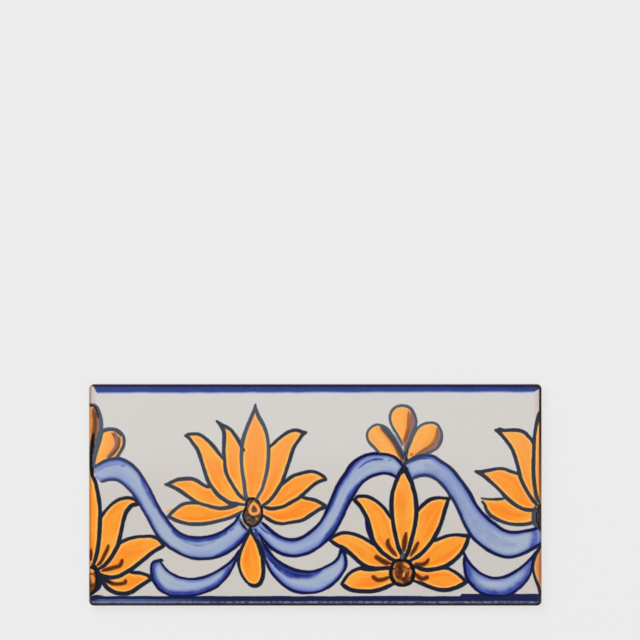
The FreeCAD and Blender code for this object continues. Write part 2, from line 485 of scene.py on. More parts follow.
def scroll() -> list[Ribbon]:
    """The three lengths of ribbon and the three crescents under them."""
    first_upper = (
        "-97.6,12.4 -95.7,13.5 -93.9,14.6 -92.4,15.2 -90.4,15.8 -88.3,16.1 -86.6,16.1 -84.8,15.6 "
        "-82.3,14.3 -80.7,13.1 -79.2,11.7 -77.9,10.2 -76.7,8.4 -75.4,6.5 -74.3,4.6 -73.1,2.6 -72.1,.5 "
        "-71.1,-1.5 -70.2,-3.5 -69.1,-5.5 -68.1,-7.3 -66.8,-9 -65.6,-10.8 -64.4,-12.5 -62.8,-14.4 "
        "-60.9,-16 -58.8,-17.3 -56.4,-18.3 -54,-18.7 -51.1,-18.8 -48.4,-18.5 -45.7,-18 -43.3,-17.2 "
        "-40.9,-16 -38.8,-14.7 -36.9,-13.3 -35.3,-11.7 -34.3,-10.1 -33.4,-8.8"
    )
    first_lower = (
        "-94.9,5.8 -93.7,6 -92.1,6.5 -90.1,6.8 -88.1,6.7 -86.3,5.9 -84.8,4.9 -83.3,3.5 -81.7,1.9 -80.5,.5 "
        "-79.5,-1 -78.5,-2.5 -77.6,-4 -76.4,-6 -75.2,-8.1 -73.9,-10.3 -72.6,-12.9 -71.4,-15.2 -70.3,-16.9 "
        "-69.3,-18.5 -67.6,-20.4 -66,-21.7 -64.4,-23.2 -62.5,-24.3 -60.4,-25.5 -58,-26.7 -55.3,-27.6 "
        "-52.7,-28.1 -50,-28.2 -47.3,-28.1 -44.7,-27.7 -42,-26.9 -39.3,-25.7 -37.2,-24.4 -35.3,-23.1 "
        "-33.5,-21.5 -31.9,-19.7 -30.5,-18 -29.5,-16.4"
    )
    second_upper = (
        "-23.6,-12 -22,-13.5 -20.4,-14.9 -18.8,-16.3 -16.9,-17.6 -14.8,-18.7 -12.4,-19.5 -10,-19.7 "
        "-7.6,-19.4 -5.3,-18.4 -3.2,-17.1 -1.3,-15.6 .5,-14 2.4,-11.9 3.7,-9.6 5.1,-6.7 6.1,-4.3 7.2,-1.6 "
        "8.3,.8 9.3,3.2 10.7,5.6 12,7.7 13.6,10 15.1,12.5 16.7,14.3 18.8,15.9 21.2,17.2 23.9,18 26.5,18.3 "
        "29.2,18.1 31.6,17.9 33.7,17.3 35.6,16.3 37.2,14.8 38.5,13.2 39.6,12 40.3,10.6"
    )
    second_lower = (
        "-24.8,-17.2 -23.5,-19.1 -21.9,-20.9 -20,-22.8 -17.9,-24.4 -15.7,-25.6 -13.3,-26.4 -10.7,-26.9 "
        "-8,-26.9 -5.3,-26.3 -2.7,-25.5 0,-24 2.4,-22.4 4.5,-20.7 6.1,-19 8,-16.8 9.6,-14.4 10.9,-12 "
        "12.3,-9.3 13.3,-6.7 14.7,-4 16,-1.6 17.4,.7 19.3,3.7 21.2,5.8 23.3,7.4 25.5,8.5 27.6,9.1 29.7,9.5 "
        "31.9,9.4 33.7,8.9 36.2,7.6"
    )
    third_upper = (
        "38.9,13.2 40.3,14.4 41.5,15.2 43.2,16.2 45.7,17.1 48.1,17.6 50.5,17.4 52.7,16.7 55.4,14.9 "
        "57.6,13.5 59.7,11.9 61.4,10.2 62.9,8.2 64.5,6.1 66.1,3.9 67.5,1.8 68.8,-.3 69.9,-2.5 70.9,-4.3 "
        "72.3,-6.2 73.9,-8.2 75.7,-9.9 77.6,-11.7 79.7,-13.1 81.9,-14.8 84.4,-16 87.1,-16.5 89.5,-16.4 "
        "91.9,-16 94.3,-15.6 96.4,-15.2 98.4,-14.4"
    )
    third_lower = (
        "41.8,6.6 44.4,7.9 46.3,8.5 48.4,8.7 50.4,8.4 52.3,7.6 54.1,6.4 55.7,4.9 57.2,3.1 58.5,1.3 "
        "59.7,-.6 61.1,-2.7 62.4,-5.1 63.7,-7.8 64.8,-10.5 65.9,-12.9 67.2,-15.3 68.5,-17.5 70.3,-19.7 "
        "71.9,-21.1 73.7,-22.5 75.9,-24.1 78.3,-25.5 80.7,-26.5 83.1,-27.2 85.5,-27.5 87.9,-27.2 "
        "90.3,-26.5 92.7,-25.5 94.8,-24.4 96.7,-23.3 98.3,-22.3 99.6,-21.5"
    )
    return [
        Ribbon(first_upper, first_lower, fill_lower=f"-97,7.6 {first_lower}", tone=0.62),
        Ribbon(second_upper, second_lower, f"-27.4,-12 {second_upper}",
               f"-28.4,-15.2 {second_lower} 38,5.5", 1.5, 1.5),
        Ribbon(third_upper, third_lower, f"{third_upper} 101,-13.4", f"39.5,6 {third_lower} 102,-20",
               1.65, 1.55, 0.65, 1.1),
        Ribbon("-67.6,-28.8 -68.3,-29.4 -67.3,-31 -66,-32.7 -64.4,-34.1 -62.3,-35.3 -60.1,-36.3 "
               "-57.7,-36.8 -55.3,-37.1 -52.7,-37 -50,-36.5 -47.3,-35.6 -44.7,-34.4 -42,-32.9 -39.9,-31.5 "
               "-38,-30 -36.4,-28.5 -35.1,-26.8 -34,-25.2 -32.8,-23.8",
               "-68,-28.8 -69.3,-28.9 -70.9,-29.2 -72.1,-30.3 -72.5,-32.2 -72.4,-34.3 -72.1,-36.3 "
               "-71.5,-38.1 -70.3,-39.9 -69.1,-41.5 -67.3,-42.8 -65.5,-43.7 -63,-44.5 -57,-44.7 "
               "-52.7,-44.1 -50,-43.4 -47.3,-42.4 -45.2,-41.5 -43.1,-40.3 -41.2,-38.5 -39.6,-36.8 "
               "-38.3,-35.1 -37.2,-33.2 -36.4,-31.6 -35.6,-30 -34.4,-27.4",
               upper_width=1.25, lower_width=1.2),
        Ribbon("11.3,-23.2 11.1,-24.7 10.7,-26.3 9.9,-27.9 8.5,-29.5 6.7,-30.6 4.5,-31.7 2.1,-32.8 "
               "-.5,-33.6 -3.2,-33.9 -5.9,-33.7 -8.5,-33.2 -10.7,-32.4 -12.8,-31.5 -14.9,-30.3 -17.1,-28.7 "
               "-18.7,-27.1 -20.3,-25.2 -21.9,-23.1 -23.6,-20.6",
               "11.5,-23.2 12.4,-24.9 13.1,-26.8 13.5,-28.7 13.6,-30.5 13.1,-32.7 12,-34.5 10.7,-36.4 "
               "9.1,-38.1 6.9,-39.9 4.8,-41.3 2.4,-42.4 -.5,-43.1 -3.2,-43.3 -5.9,-43.2 -8.5,-42.7 "
               "-10.7,-41.9 -12.8,-40.7 -14.9,-39.1 -17.1,-36.9 -18.7,-35.1 -20,-33.2 -21.1,-30.8 "
               "-22.3,-27.6"),
        Ribbon("64.8,-24 65.4,-25.4 66,-26.6 67.3,-28.9 68.7,-30.8 70.3,-32.4 72.1,-34 74.3,-35.3 "
               "76.7,-36.3 79.1,-36.7 81.2,-36.6 83.6,-36.1 86,-35.1 88.4,-33.7 90.5,-32.3 92.7,-30.5 "
               "94.5,-28.7 96.1,-27.1 97.7,-25.2 99.2,-23",
               "65.8,-27 65.7,-28.5 65.7,-30.5 66,-32.7 66.3,-34.8 67.1,-36.9 68.1,-38.5 69.7,-40.4 "
               "71.3,-42 73.5,-43.4 77,-44.4 84,-44.5 87.3,-43.2 89.2,-41.7 91.1,-40.3 92.7,-38.5 94,-36.7 "
               "95.1,-34.5 95.7,-32.4 96,-30.3 96.3,-28"),
    ]


def buds_and_drops() -> list[Lobe]:
    """The three-leaved buds on the ribbon's crests, the drops under the flowers, and the hearts."""
    return [
        Lobe("38,39.5 36.1,39.1 34.4,37.9 33.3,36.1 33,34 33.3,31.9 34.4,29.5 35.9,27.1 37.2,24.7 38.4,22",
             "38,39.5 39.9,39.3 41.7,38.5 43.1,36.9 44,34.8 44.6,32.7 44.4,30.8 43.6,28.7 42.8,26.5 "
             "42,24.4 40.9,22 40.1,19.3 39.7,16.7", 1.3, 0.4, 0.45),
        Lobe("27.1,31.1 28.9,30.9 30.8,30.1 32.4,28.7 34,26.5 35.3,24.7 36.7,22.3 38,19.9 39.4,17.2 "
             "39.6,14.6",
             "27.1,31.1 25.2,30.3 23.7,28.9 22.9,27.3 22.9,25.5 23.5,23.7 24.7,22.3 26.1,20.9 27.6,19.3 "
             "28.8,18.3 31.6,17.9 33.7,17.3 35.6,16.3 37.2,14.8 38.8,13.6",
             width=1.3, tone=0.45, other_tone=0.45, layer=4),
        Lobe("50.5,31.9 49,31.7 47.9,31.4 46.1,30.4 44.7,28.9 43.8,27.4 42.8,25.3 42,23.1 40.9,20.4 "
             "40,17.6 39.8,14.6",
             "50.5,31.9 52,31.9 53.5,31.3 54.7,29.9 55.6,28.1 55.9,26.1 55.6,24 54.7,22 53.5,20.5 "
             "51.7,19.4 49.7,18.6 47.8,17.8 45.7,17.1 43.2,16.2 41.5,15.2 40.2,14",
             width=1.3, tone=0.4, other_tone=0.45, layer=4),
        Lobe("-99.4,39.7 -98.5,39.7 -97.4,39.5 -96.5,38.7 -95.7,37.3 -95.1,35.3 -94.7,33.3 -94.5,31.3 "
             "-94.6,29.2 -95.2,27.2 -95.9,25.2 -96.4,22.6 -97,20.1 -97.7,17.6 -98.2,15",
             "-102,40 -103,30 -102,22 -101,15", width=1.8, tone=0.42),
        Lobe("-90,29.3 -91.5,29.2 -92.6,29 -93.9,28.2 -94.7,25.2 -95.3,22.6 -95.9,20.6 -96.7,18.1 "
             "-97.5,15.5 -97.9,13.2 -97.8,12.4",
             "-90,29.3 -89.1,29.2 -87.6,28.8 -86.3,27.9 -85.3,26.7 -84.6,25.2 -84.4,23.4 -84.7,21.6 "
             "-85.4,20.1 -86.3,18.6 -87.2,17.3 -87.9,16.3 -90.4,15.8 -92.4,15.2 -93.9,14.6 -95.7,13.5 "
             "-97.4,12.5", width=1.35, tone=0.48, other_tone=0.55, layer=4),
        Lobe("-26.5,-40.4 -28.3,-40 -30,-38.7 -31.2,-37.2 -32.2,-35.7 -33.2,-33.3 -33.8,-31 -33.9,-29 "
             "-33.5,-26.6 -32.7,-24.1 -31.6,-21.5 -30.2,-18.5 -29.3,-16.3 -28.7,-14.4",
             "-26.5,-40.4 -24.8,-39.7 -23.5,-37.9 -22.9,-36 -22.7,-34.2 -22.7,-32.2 -23,-30 -23.6,-27.6 "
             "-24.3,-25.2 -25,-22.8 -26,-20.4 -27.1,-18.3 -28,-16.7 -28.6,-15",
             width=1.5, layer=6),
        Lobe("99.6,-44 98.9,-41.7 98.4,-39.9 97.6,-38 96.8,-35.9 96.3,-33.7 96.1,-31.6 96.4,-29.2 "
             "97.2,-26.8 98.3,-24.7 99.1,-22.8 99.5,-21.5",
             "104,-44 106,-35 105,-28 102,-21.5", width=1.5, layer=6),
        Lobe("-27.6,-1.4 -30,-1.9 -30.5,-5.1 -31.5,-7.2 -31.9,-9.3 -31.1,-11.7 -29.7,-13.3 -28.3,-13.9",
             "-27.2,-1.4 -25.2,-2.7 -23.9,-5.3 -23.5,-8.3 -24.1,-11.2 -26.3,-13.3 -27.6,-13.9",
             width=1.0, layer=8, ground=Ground.HEART),
        Lobe("38.7,-28.8 36,-28.9 34.7,-29.7 33.5,-32.1 33.3,-34.5 33.7,-36.7 34.9,-38.5 36.8,-39.7 "
             "39.2,-40.1",
             "38.7,-28.8 40,-28.9 41.3,-29.5 42.5,-31.1 43.3,-33.2 43.5,-35.3 42.9,-37.7 41.3,-39.3 "
             "39.2,-40.1", 1.65, 1.3, 1.3, 8, Ground.HEART),
        Lobe("-98.6,-31.8 -97.4,-32.4 -96.6,-33.8 -96.2,-36 -96,-38 -96.1,-39.6 -96.6,-41.2 -97.4,-42.5 "
             "-98.4,-43.4 -99.6,-44.2",
             "-102,-32 -104,-36 -104,-40 -102,-44", width=1.8, layer=8, ground=Ground.HEART),
        Lobe("99.8,-4.4 98.6,-5.2 97.9,-7 97.6,-9 97.6,-11 98,-13 98.9,-14.9 99.9,-15.6",
             "102,-4 105,-8 105,-12 102,-16", 1.5, 0.6, 0.6, 8, Ground.HEART),
        Lobe("-27.5,-16.5 -25.5,-21 -24,-25 -22.8,-29", "-25.5,-16.4 -24,-19 -22.6,-22 -21.5,-27",
             layer=1, ground=Ground.RIBBON, drawn=False),
        Lobe("-64.2,5.6 -63.6,6.6 -62.4,7.6 -60.6,8.1",
             "-64.2,5.4 -63.2,5.7 -62,6.2 -60.4,7", layer=2, drawn=False),
        Lobe("-65.8,-7.4 -65,-6.4 -64,-6.2 -63,-6.4",
             "-65.8,-7.6 -64.8,-7.6 -63.8,-7.4 -62.9,-6.8", layer=2, drawn=False),
    ]


def dark_details() -> list[Touches]:
    """Dark roots and joins that are drawn over the shapes."""
    roots = [
        Stroke("-33.5,-10.7 -32.7,-12.5 -31.1,-14.4 -29.5,-15.9", 1.0, 0.7, 0.7),
        Stroke("-98,27 -98.4,23 -98.7,20 -98.8,16 -98.7,12 -98.5,8.2", 2.1, 0.5, 0.8, 1.3),
        Stroke("-99.2,39.4 -98.3,39.5 -97.4,39.1 -96.7,38.1 -96.2,36.8 -95.9,35.2 -95.8,33.6",
               1.4, 0.8, 0.3, 1.2, 0.7),
        Stroke("-93.6,27.9 -91.8,28.7 -90,28.9 -88.2,28.5 -86.7,27.4 -85.6,25.9", 1.4, 0.6, 0.4, 0.6),
        Stroke("28.6,30.4 30.8,28.9 32.6,27 34.4,24.7 36,22.4 37.6,19.6 39,16.6", 1.7, 0.4, 0.9, 0.5, 0.75),
        Stroke("41.8,23.4 40.8,20.4 40.1,17.4 39.9,15", 1.4, 0.2, 0.9, 0.8),
        Stroke("37.9,9.4 38.6,10.8 39.3,11.8 40.2,10.6 40.8,9.2", 2.2, 0.6, 0.6, 1.1),
        Stroke("39.7,18.6 39.9,17 40,15.4 39.4,13.6", 1.5, 0.6, 0.8, 1.1),
        Stroke("38.4,-24.5 38.4,-26.5 38.3,-28.6", 2.0, 0.5, 1.0, 0.5),
        Stroke("-98.2,-30.4 -97,-32.2 -96,-34 -95.3,-36.2 -95,-38.2 -95.6,-40.6 -96.8,-42.6",
               2.0, 0.6, 0.5, 1.15),
        Stroke("-94.6,-36.6 -93.2,-37.4 -91.4,-38.2 -89.6,-38.9", 1.7, 0.9, 0.3, 1.1),
        Stroke("19.4,-32.7 21.8,-32.9 24.6,-33.1 28,-33.2", 1.4, 0.5, 0.4),
        Stroke("55.4,-32.7 57.4,-32.3 59.4,-32.7 61.2,-33.7", 1.4, 0.5, 0.7),
        Stroke("97.2,-5 96.5,-7.2 96.2,-10 96.7,-12.6 97.6,-14.4", 1.6, 0.6, 0.5, 0.6),
        Stroke("-23.9,-4.4 -23.5,-7 -23.7,-10 -25.2,-12.8", 1.0, 0.6, 0.6, 1.0),
        Stroke("43.2,-33 43.4,-35.6 42.6,-37.9 40.6,-39.5 38.4,-40", 1.9, 0.6, 0.6, 1.1),
        Stroke("-30,-38.8 -28.2,-40 -26.5,-40.3 -24.8,-39.6 -23.6,-37.8 -23,-35.4 -22.8,-32.8 -23.1,-30 "
               "-23.8,-27", 2.2, 0.5, 0.5, 1.15),
        Stroke("-25.4,-20 -24.2,-23.6 -23.3,-27 -22.9,-30.4", 2.3, 0.5, 0.6, 1.1),
        Stroke("-99,-44.6 -97,-44.5 -95,-44.5 -93.5,-44.7", 0.9, 0.5, 0.5, 1.1),
        Stroke("-72,-30.2 -71,-29.4 -69.4,-29 -68,-28.7 -67.2,-29", 1.6, 0.6, 0.6),
    ]
    navy_root = Stroke("22.2,-9.6 23.3,-13.8 24.5,-17.6 26,-21", 2.7, 0.3, 0.6)
    return [Touches(Round.BUD, roots), Touches(Round.RIBBON, [navy_root])]


def stripes() -> list[Lobe]:
    """The two blue stripes along the long edges of the tile."""
    return [
        Lobe("-99,49.6 -60,49.6 0,49.6 60,49.6 98,49.6 99.6,49.6",
             "-95.8,43.9 -60,43.9 0,43.9 60,43.9 94,43.9 96.2,45.2 98.8,46.5 99.6,47.4", layer=0,
             ground=Ground.STRIPE, drawn=False),
        Lobe("-99.4,-49.8 -60,-49.8 0,-49.8 60,-49.8 99.4,-49.8",
             "-99.4,-43 -60,-43 0,-43 60,-43 99.4,-43",
             layer=0, ground=Ground.STRIPE, drawn=False),
    ]


def brush_touches() -> list[Touches]:
    """The washes in the ribbon, the brown dashes round the low hearts and the shade of the buds."""
    washes = [
        Stroke("-97,10.2 -95,11.3 -92.5,12.6 -89,13.4 -86,13.7", 1.8, tone=0.4),
        Stroke("-85.4,13 -84.9,12.8 -84.4,12.8", 2.0, 1.0, 1.0, 0.55),
        Stroke("-77.6,8.6 -75.4,5 -72.6,-.5 -70.4,-5", 6.0, 0.2, 0.6, 0.6),
        Stroke("-90,6.8 -84.8,4.9 -80.5,.5 -76.4,-6 -72.6,-12.9 -69.3,-18.5", 4.4, 0.6, 0.6, 0.4),
        Stroke("-70.2,-3.5 -68.1,-7.3 -65.6,-10.8 -62.8,-14.4", 5.2, tone=0.75),
        Stroke("-64.4,-12.5 -60.9,-16 -56.4,-18.3 -51.1,-18.8 -45.7,-18 -40.9,-16 -38.8,-14.7",
               6.8, tone=1.15),
        Stroke("-60,-19.6 -55,-21.7 -50,-22.2 -44,-20.5", 2.0, tone=0.4),
        Stroke("-38.6,-15 -37.5,-15.5 -36.3,-15", 2.4, 1.0, 1.0, 0.45),
        Stroke("-45,-27.7 -39.3,-25.7 -35.3,-23.1 -31.9,-19.7 -29.8,-17", 6.2, 0.3, 0.7, 1.05),
        Stroke("-70.9,-29.2 -72.5,-32.2 -72.1,-36.3 -70.3,-39.8 -67.3,-42.6 -63,-44.2 -57,-44.3 "
               "-52.7,-43.8 -47.3,-42.4 -43.1,-40.3 -39.6,-36.8 -37.2,-33.2 -35.6,-30",
               7.4, 1.0, 0.6, 0.95),
        Stroke("-37.6,-32.3 -36.8,-30.8", 0.8, 0.6, 0.6, -0.4),
        Stroke("-25,-13.4 -23,-15.4 -20.5,-17.3", 1.6, tone=0.9),
        Stroke("-22,-13.5 -18.8,-16.3 -14.8,-18.7 -10,-19.7 -5.3,-18.4", 5.4, tone=0.8),
        Stroke("2.4,-22.4 6.1,-19 9.6,-14.4 12.3,-9.3 14.7,-4 17.4,.7 21.2,5.8", 7.4, tone=1.1),
        Stroke("3.7,-9.6 6.1,-4.3 8.3,.8 10.7,5.6 13.6,10 16.7,14.3 21.2,17.2", 6.0, tone=1.0),
        Stroke("19,11.6 22,14.1 24.7,15.3 27.3,15.8 30,15.8", 1.9, tone=0.85),
        Stroke("32.2,15.4 33.2,15.3", 1.5, 1.0, 1.0, 0.55),
        Stroke("24,14.4 28,15 31,14.8", 3.0, tone=0.25),
        Stroke("-26.6,-15.5 -25,-19 -23.4,-23 -22,-27", 4.2, 0.8, 0.8, 1.0),
        Stroke("-25.2,-18.4 -23.9,-21.4 -22.9,-24", 1.2, 0.7, 0.7, -0.3),
        Stroke("-22.6,-22.6 -18.9,-28 -15.2,-31.6 -10.9,-33.9 -6.8,-34.4 -1,-33.8 4,-32", 9.0, 0.7, 0.1, 1.1),
        Stroke("-21.1,-30.8 -18.7,-35.1 -14.9,-39.1 -10.7,-41.9 -5.9,-43.2 -.5,-43.1", 4.4, tone=0.65),
        Stroke("2.4,-42.4 6.9,-39.9 10.7,-36.4 13.1,-32.7 13.5,-28.7 12.4,-24.9", 4.4, tone=0.7),
        Stroke("41.6,14.4 44,15.4 47,16.2 51,15.9", 2.0, tone=0.8),
        Stroke("49.6,15.6 51.4,15.3", 0.8, 0.6, 0.6, -0.5),
        Stroke("40.2,12.6 41.2,13.4", 0.9, 0.6, 0.6, -0.6),
        Stroke("49,13 55,9 60.5,3 64.5,-4 69,-11 75,-17.5 82,-21.4 88,-22", 10.0, 0.6, 0.4, 0.25),
        Stroke("74,-14 78,-17.3 82,-20", 1.1, tone=0.4),
        Stroke("96.9,-17.2 96.8,-19.4 96,-23", 7.6, 0.9, 0.9, 0.6),
        Stroke("95.2,-19.2 96,-18 97.3,-18 97.9,-19.2 97.2,-20.4 95.9,-20.3 95.2,-19.2", 1.0, tone=0.5),
        Stroke("65.7,-28.5 66,-32.7 67.1,-36.9 69.7,-40.4 73.5,-43.4 77,-44.4 84,-44.5 87.3,-43.2 "
               "91.1,-40.3 94,-36.7 95.7,-32.4 96.3,-28", 11.0, 0.5, 0.4, 0.8),
        Stroke("67.4,-32.4 68.2,-32.4", 1.8, 1.0, 1.0, 0.6),
    ]
    browns = [
        Stroke("32.2,-19.8 32,-21.5 33.2,-23.8 34.6,-25.6 36,-27", 2.1, 0.6, 0.4),
        Stroke("40.1,-16.8 39.6,-19.5 39.3,-22 39.1,-24.5", 2.5, 0.5, 0.7),
        Stroke("45.4,-21 44.4,-23 43.2,-25 42,-27", 1.9, 0.7, 0.5),
        Stroke("49.9,-28.5 48.8,-30 46.7,-30.7 44.3,-30.3", 1.9, 0.8, 0.6),
        Stroke("49.3,-36.4 47.2,-37.1 45.3,-36 44,-34.5", 2.2, 1.0, 0.5),
        Stroke("27,-27.5 29,-28.8 31.5,-30 33.3,-30.1", 2.6, 0.9, 0.4),
        Stroke("25.6,-36.2 27.5,-37.5 30,-37.3 32.3,-36.4", 2.0, 0.9, 0.7),
        Stroke("-91.4,-22.4 -91.9,-24.1 -92.8,-25.9 -93.9,-28.2 -95.2,-30.2 -96.2,-31", 1.8, 0.7, 0.7),
        Stroke("-85.3,-28.9 -85.8,-30.5 -86.8,-31.5 -88.3,-31.9 -90.1,-32.4 -92.1,-32.9 -94.2,-33.5",
               2.0, 0.8, 0.5),
        Stroke("-83.8,-37.8 -84,-38.7 -85.8,-39.2 -87.8,-39.3 -89.9,-39 -91.6,-38.2", 1.8, 0.9, 0.8),
        Stroke("-99,-24 -99,-26.7 -99.1,-28.6", 1.5, 0.6, 0.8),
        Stroke("41.3,37 41.2,34.4 41.1,31.9 40.8,29.4 40.3,27.1 39.4,24.5 38.8,23", 1.4, tone=0.65),
        Stroke("53.5,29.1 53.5,26.8 52.8,24.8 51.7,23 50.2,21.5 48.2,20.2 45.6,18.7", 1.2, tone=0.55),
        Stroke("28.7,29.4 31.2,27.3 33.2,24.9 35,22.3 36.3,19.9 37.6,17.2 38.4,15.4", 1.9, tone=0.62),
        Stroke("-98.2,38.2 -97.7,36 -97.4,33 -97.5,30 -97.8,27 -98.3,24.4", 2.1, tone=0.85),
        Stroke("-89.8,27.6 -89.2,26.6 -88.7,25.6", 1.0, 0.6, 0.6, 0.8),
        Stroke("-87.1,25.7 -86.5,24.7 -86.6,22.6 -87.3,20.6 -88.6,19.1 -89.9,17.6 -91.4,16.3", 1.2,
               tone=0.7),
        Stroke("42.3,17.9 42.8,17.7", 1.5, 1.0, 1.0, 0.5),
    ]
    soft_marks = [
        Stroke("42.7,36.8 43,33 42.5,29.5 41.4,26 40.4,22.5 39.8,19", 3.6, 0.6, 0.6, 1.0),
        Stroke("29.2,29.8 31.9,27.2 34.3,24.2 36.2,21 38,17.4 38.9,15.4", 3.2, 0.5, 0.8, 1.0),
        Stroke("99.4,-26 98.8,-30 98.9,-34 99.6,-38", 4.4, 0.7, 0.7, 0.45),
        Stroke("54.2,29.4 54.6,26 54,24 52.7,22.1 50.8,20.5 48,19 44.6,17.8", 2.9, 0.6, 0.6, 0.95),
        Stroke("-97,38.4 -96.5,35 -96.3,31 -96.6,28 -97.2,24 -97.8,19", 2.8, 0.7, 0.7, 1.0),
        Stroke("-88.6,27.2 -87.8,25 -87.4,22.8 -88,20.6 -89.4,18.6 -91.4,16.8", 3.2, 0.6, 0.6, 1.0),
        Stroke("37.6,37 36.6,34 37,30.5 38,27.5", 6.4, 0.8, 0.6, -0.35),
        Stroke("26,28 28.4,25 31,21.6 33.6,18.8", 6.4, 0.8, 0.7, -0.4),
        Stroke("49.4,29 47.2,25.8 45,22.6 43,19.6", 6.4, 0.8, 0.6, -0.4),
        Stroke("-91.4,27 -92.4,23.4 -93.8,19.6 -95.2,16.4", 5.6, 0.8, 0.6, -0.3),
        Stroke("99.7,30 99.6,20 99.5,10 99.7,2", 3.4, 0.6, 0.6, 0.35),
        Stroke("-27.2,-3.4 -28.4,-5 -28.9,-6.8 -28.2,-8.1 -26.9,-8.4 -25.4,-7.8 -25,-6.4 -25.9,-4.8 "
               "-27,-3.6", 1.7, 0.8, 0.8, 1.0),
        Stroke("-26,-10.2 -25.6,-10.8", 1.4, 0.8, 0.8, 0.45),
        Stroke("35.2,-30.2 34.7,-33 34.8,-35.6 36.1,-37.6 38.6,-38.4", 1.3, 0.6, 0.6, 0.46),
        Stroke("39.4,-30.6 40.5,-31 41.3,-31.8", 1.8, 0.7, 0.7, 0.85),
        Stroke("41.8,-32.6 42,-34.2 41.6,-35.8", 1.1, 0.6, 0.6, 0.6),
        Stroke("39.1,-34.5 39,-35.7", 1.5, 0.8, 0.8, 1.0),
        Stroke("39.8,-32.6 39.9,-33.6", 2.0, 0.8, 0.8, 0.3),
        Stroke("-99.6,-33.4 -98.4,-33.6", 2.6, 1.0, 0.8, 1.0),
        Stroke("-98.8,-36 -98.2,-37 -98,-38.4", 2.4, 0.9, 0.6, 0.8),
    ]
    broad = [stroke for stroke in washes if stroke.width > FINE_BRUSH]
    fine = [stroke for stroke in washes if stroke.width <= FINE_BRUSH]
    return [Touches(Tint.WASH, broad), Touches(Tint.STREAK, fine), Touches(Tint.IRON, browns),
            Touches(Tint.SOFT, soft_marks)]


def whole_painting() -> Painting:
    """Lay every motif out in the painter's order.

    Returns:
        The strokes and filled shapes of the whole tile.
    """
    painting = Painting()
    flowers = [tall_flower(), low_flower(), half_low_flower(), half_tall_flower()]
    motifs = [*stripes(), *scroll(), *flowers, *buds_and_drops(), *dark_details(), *brush_touches()]
    for motif in motifs:
        motif.paint(painting)
    return painting


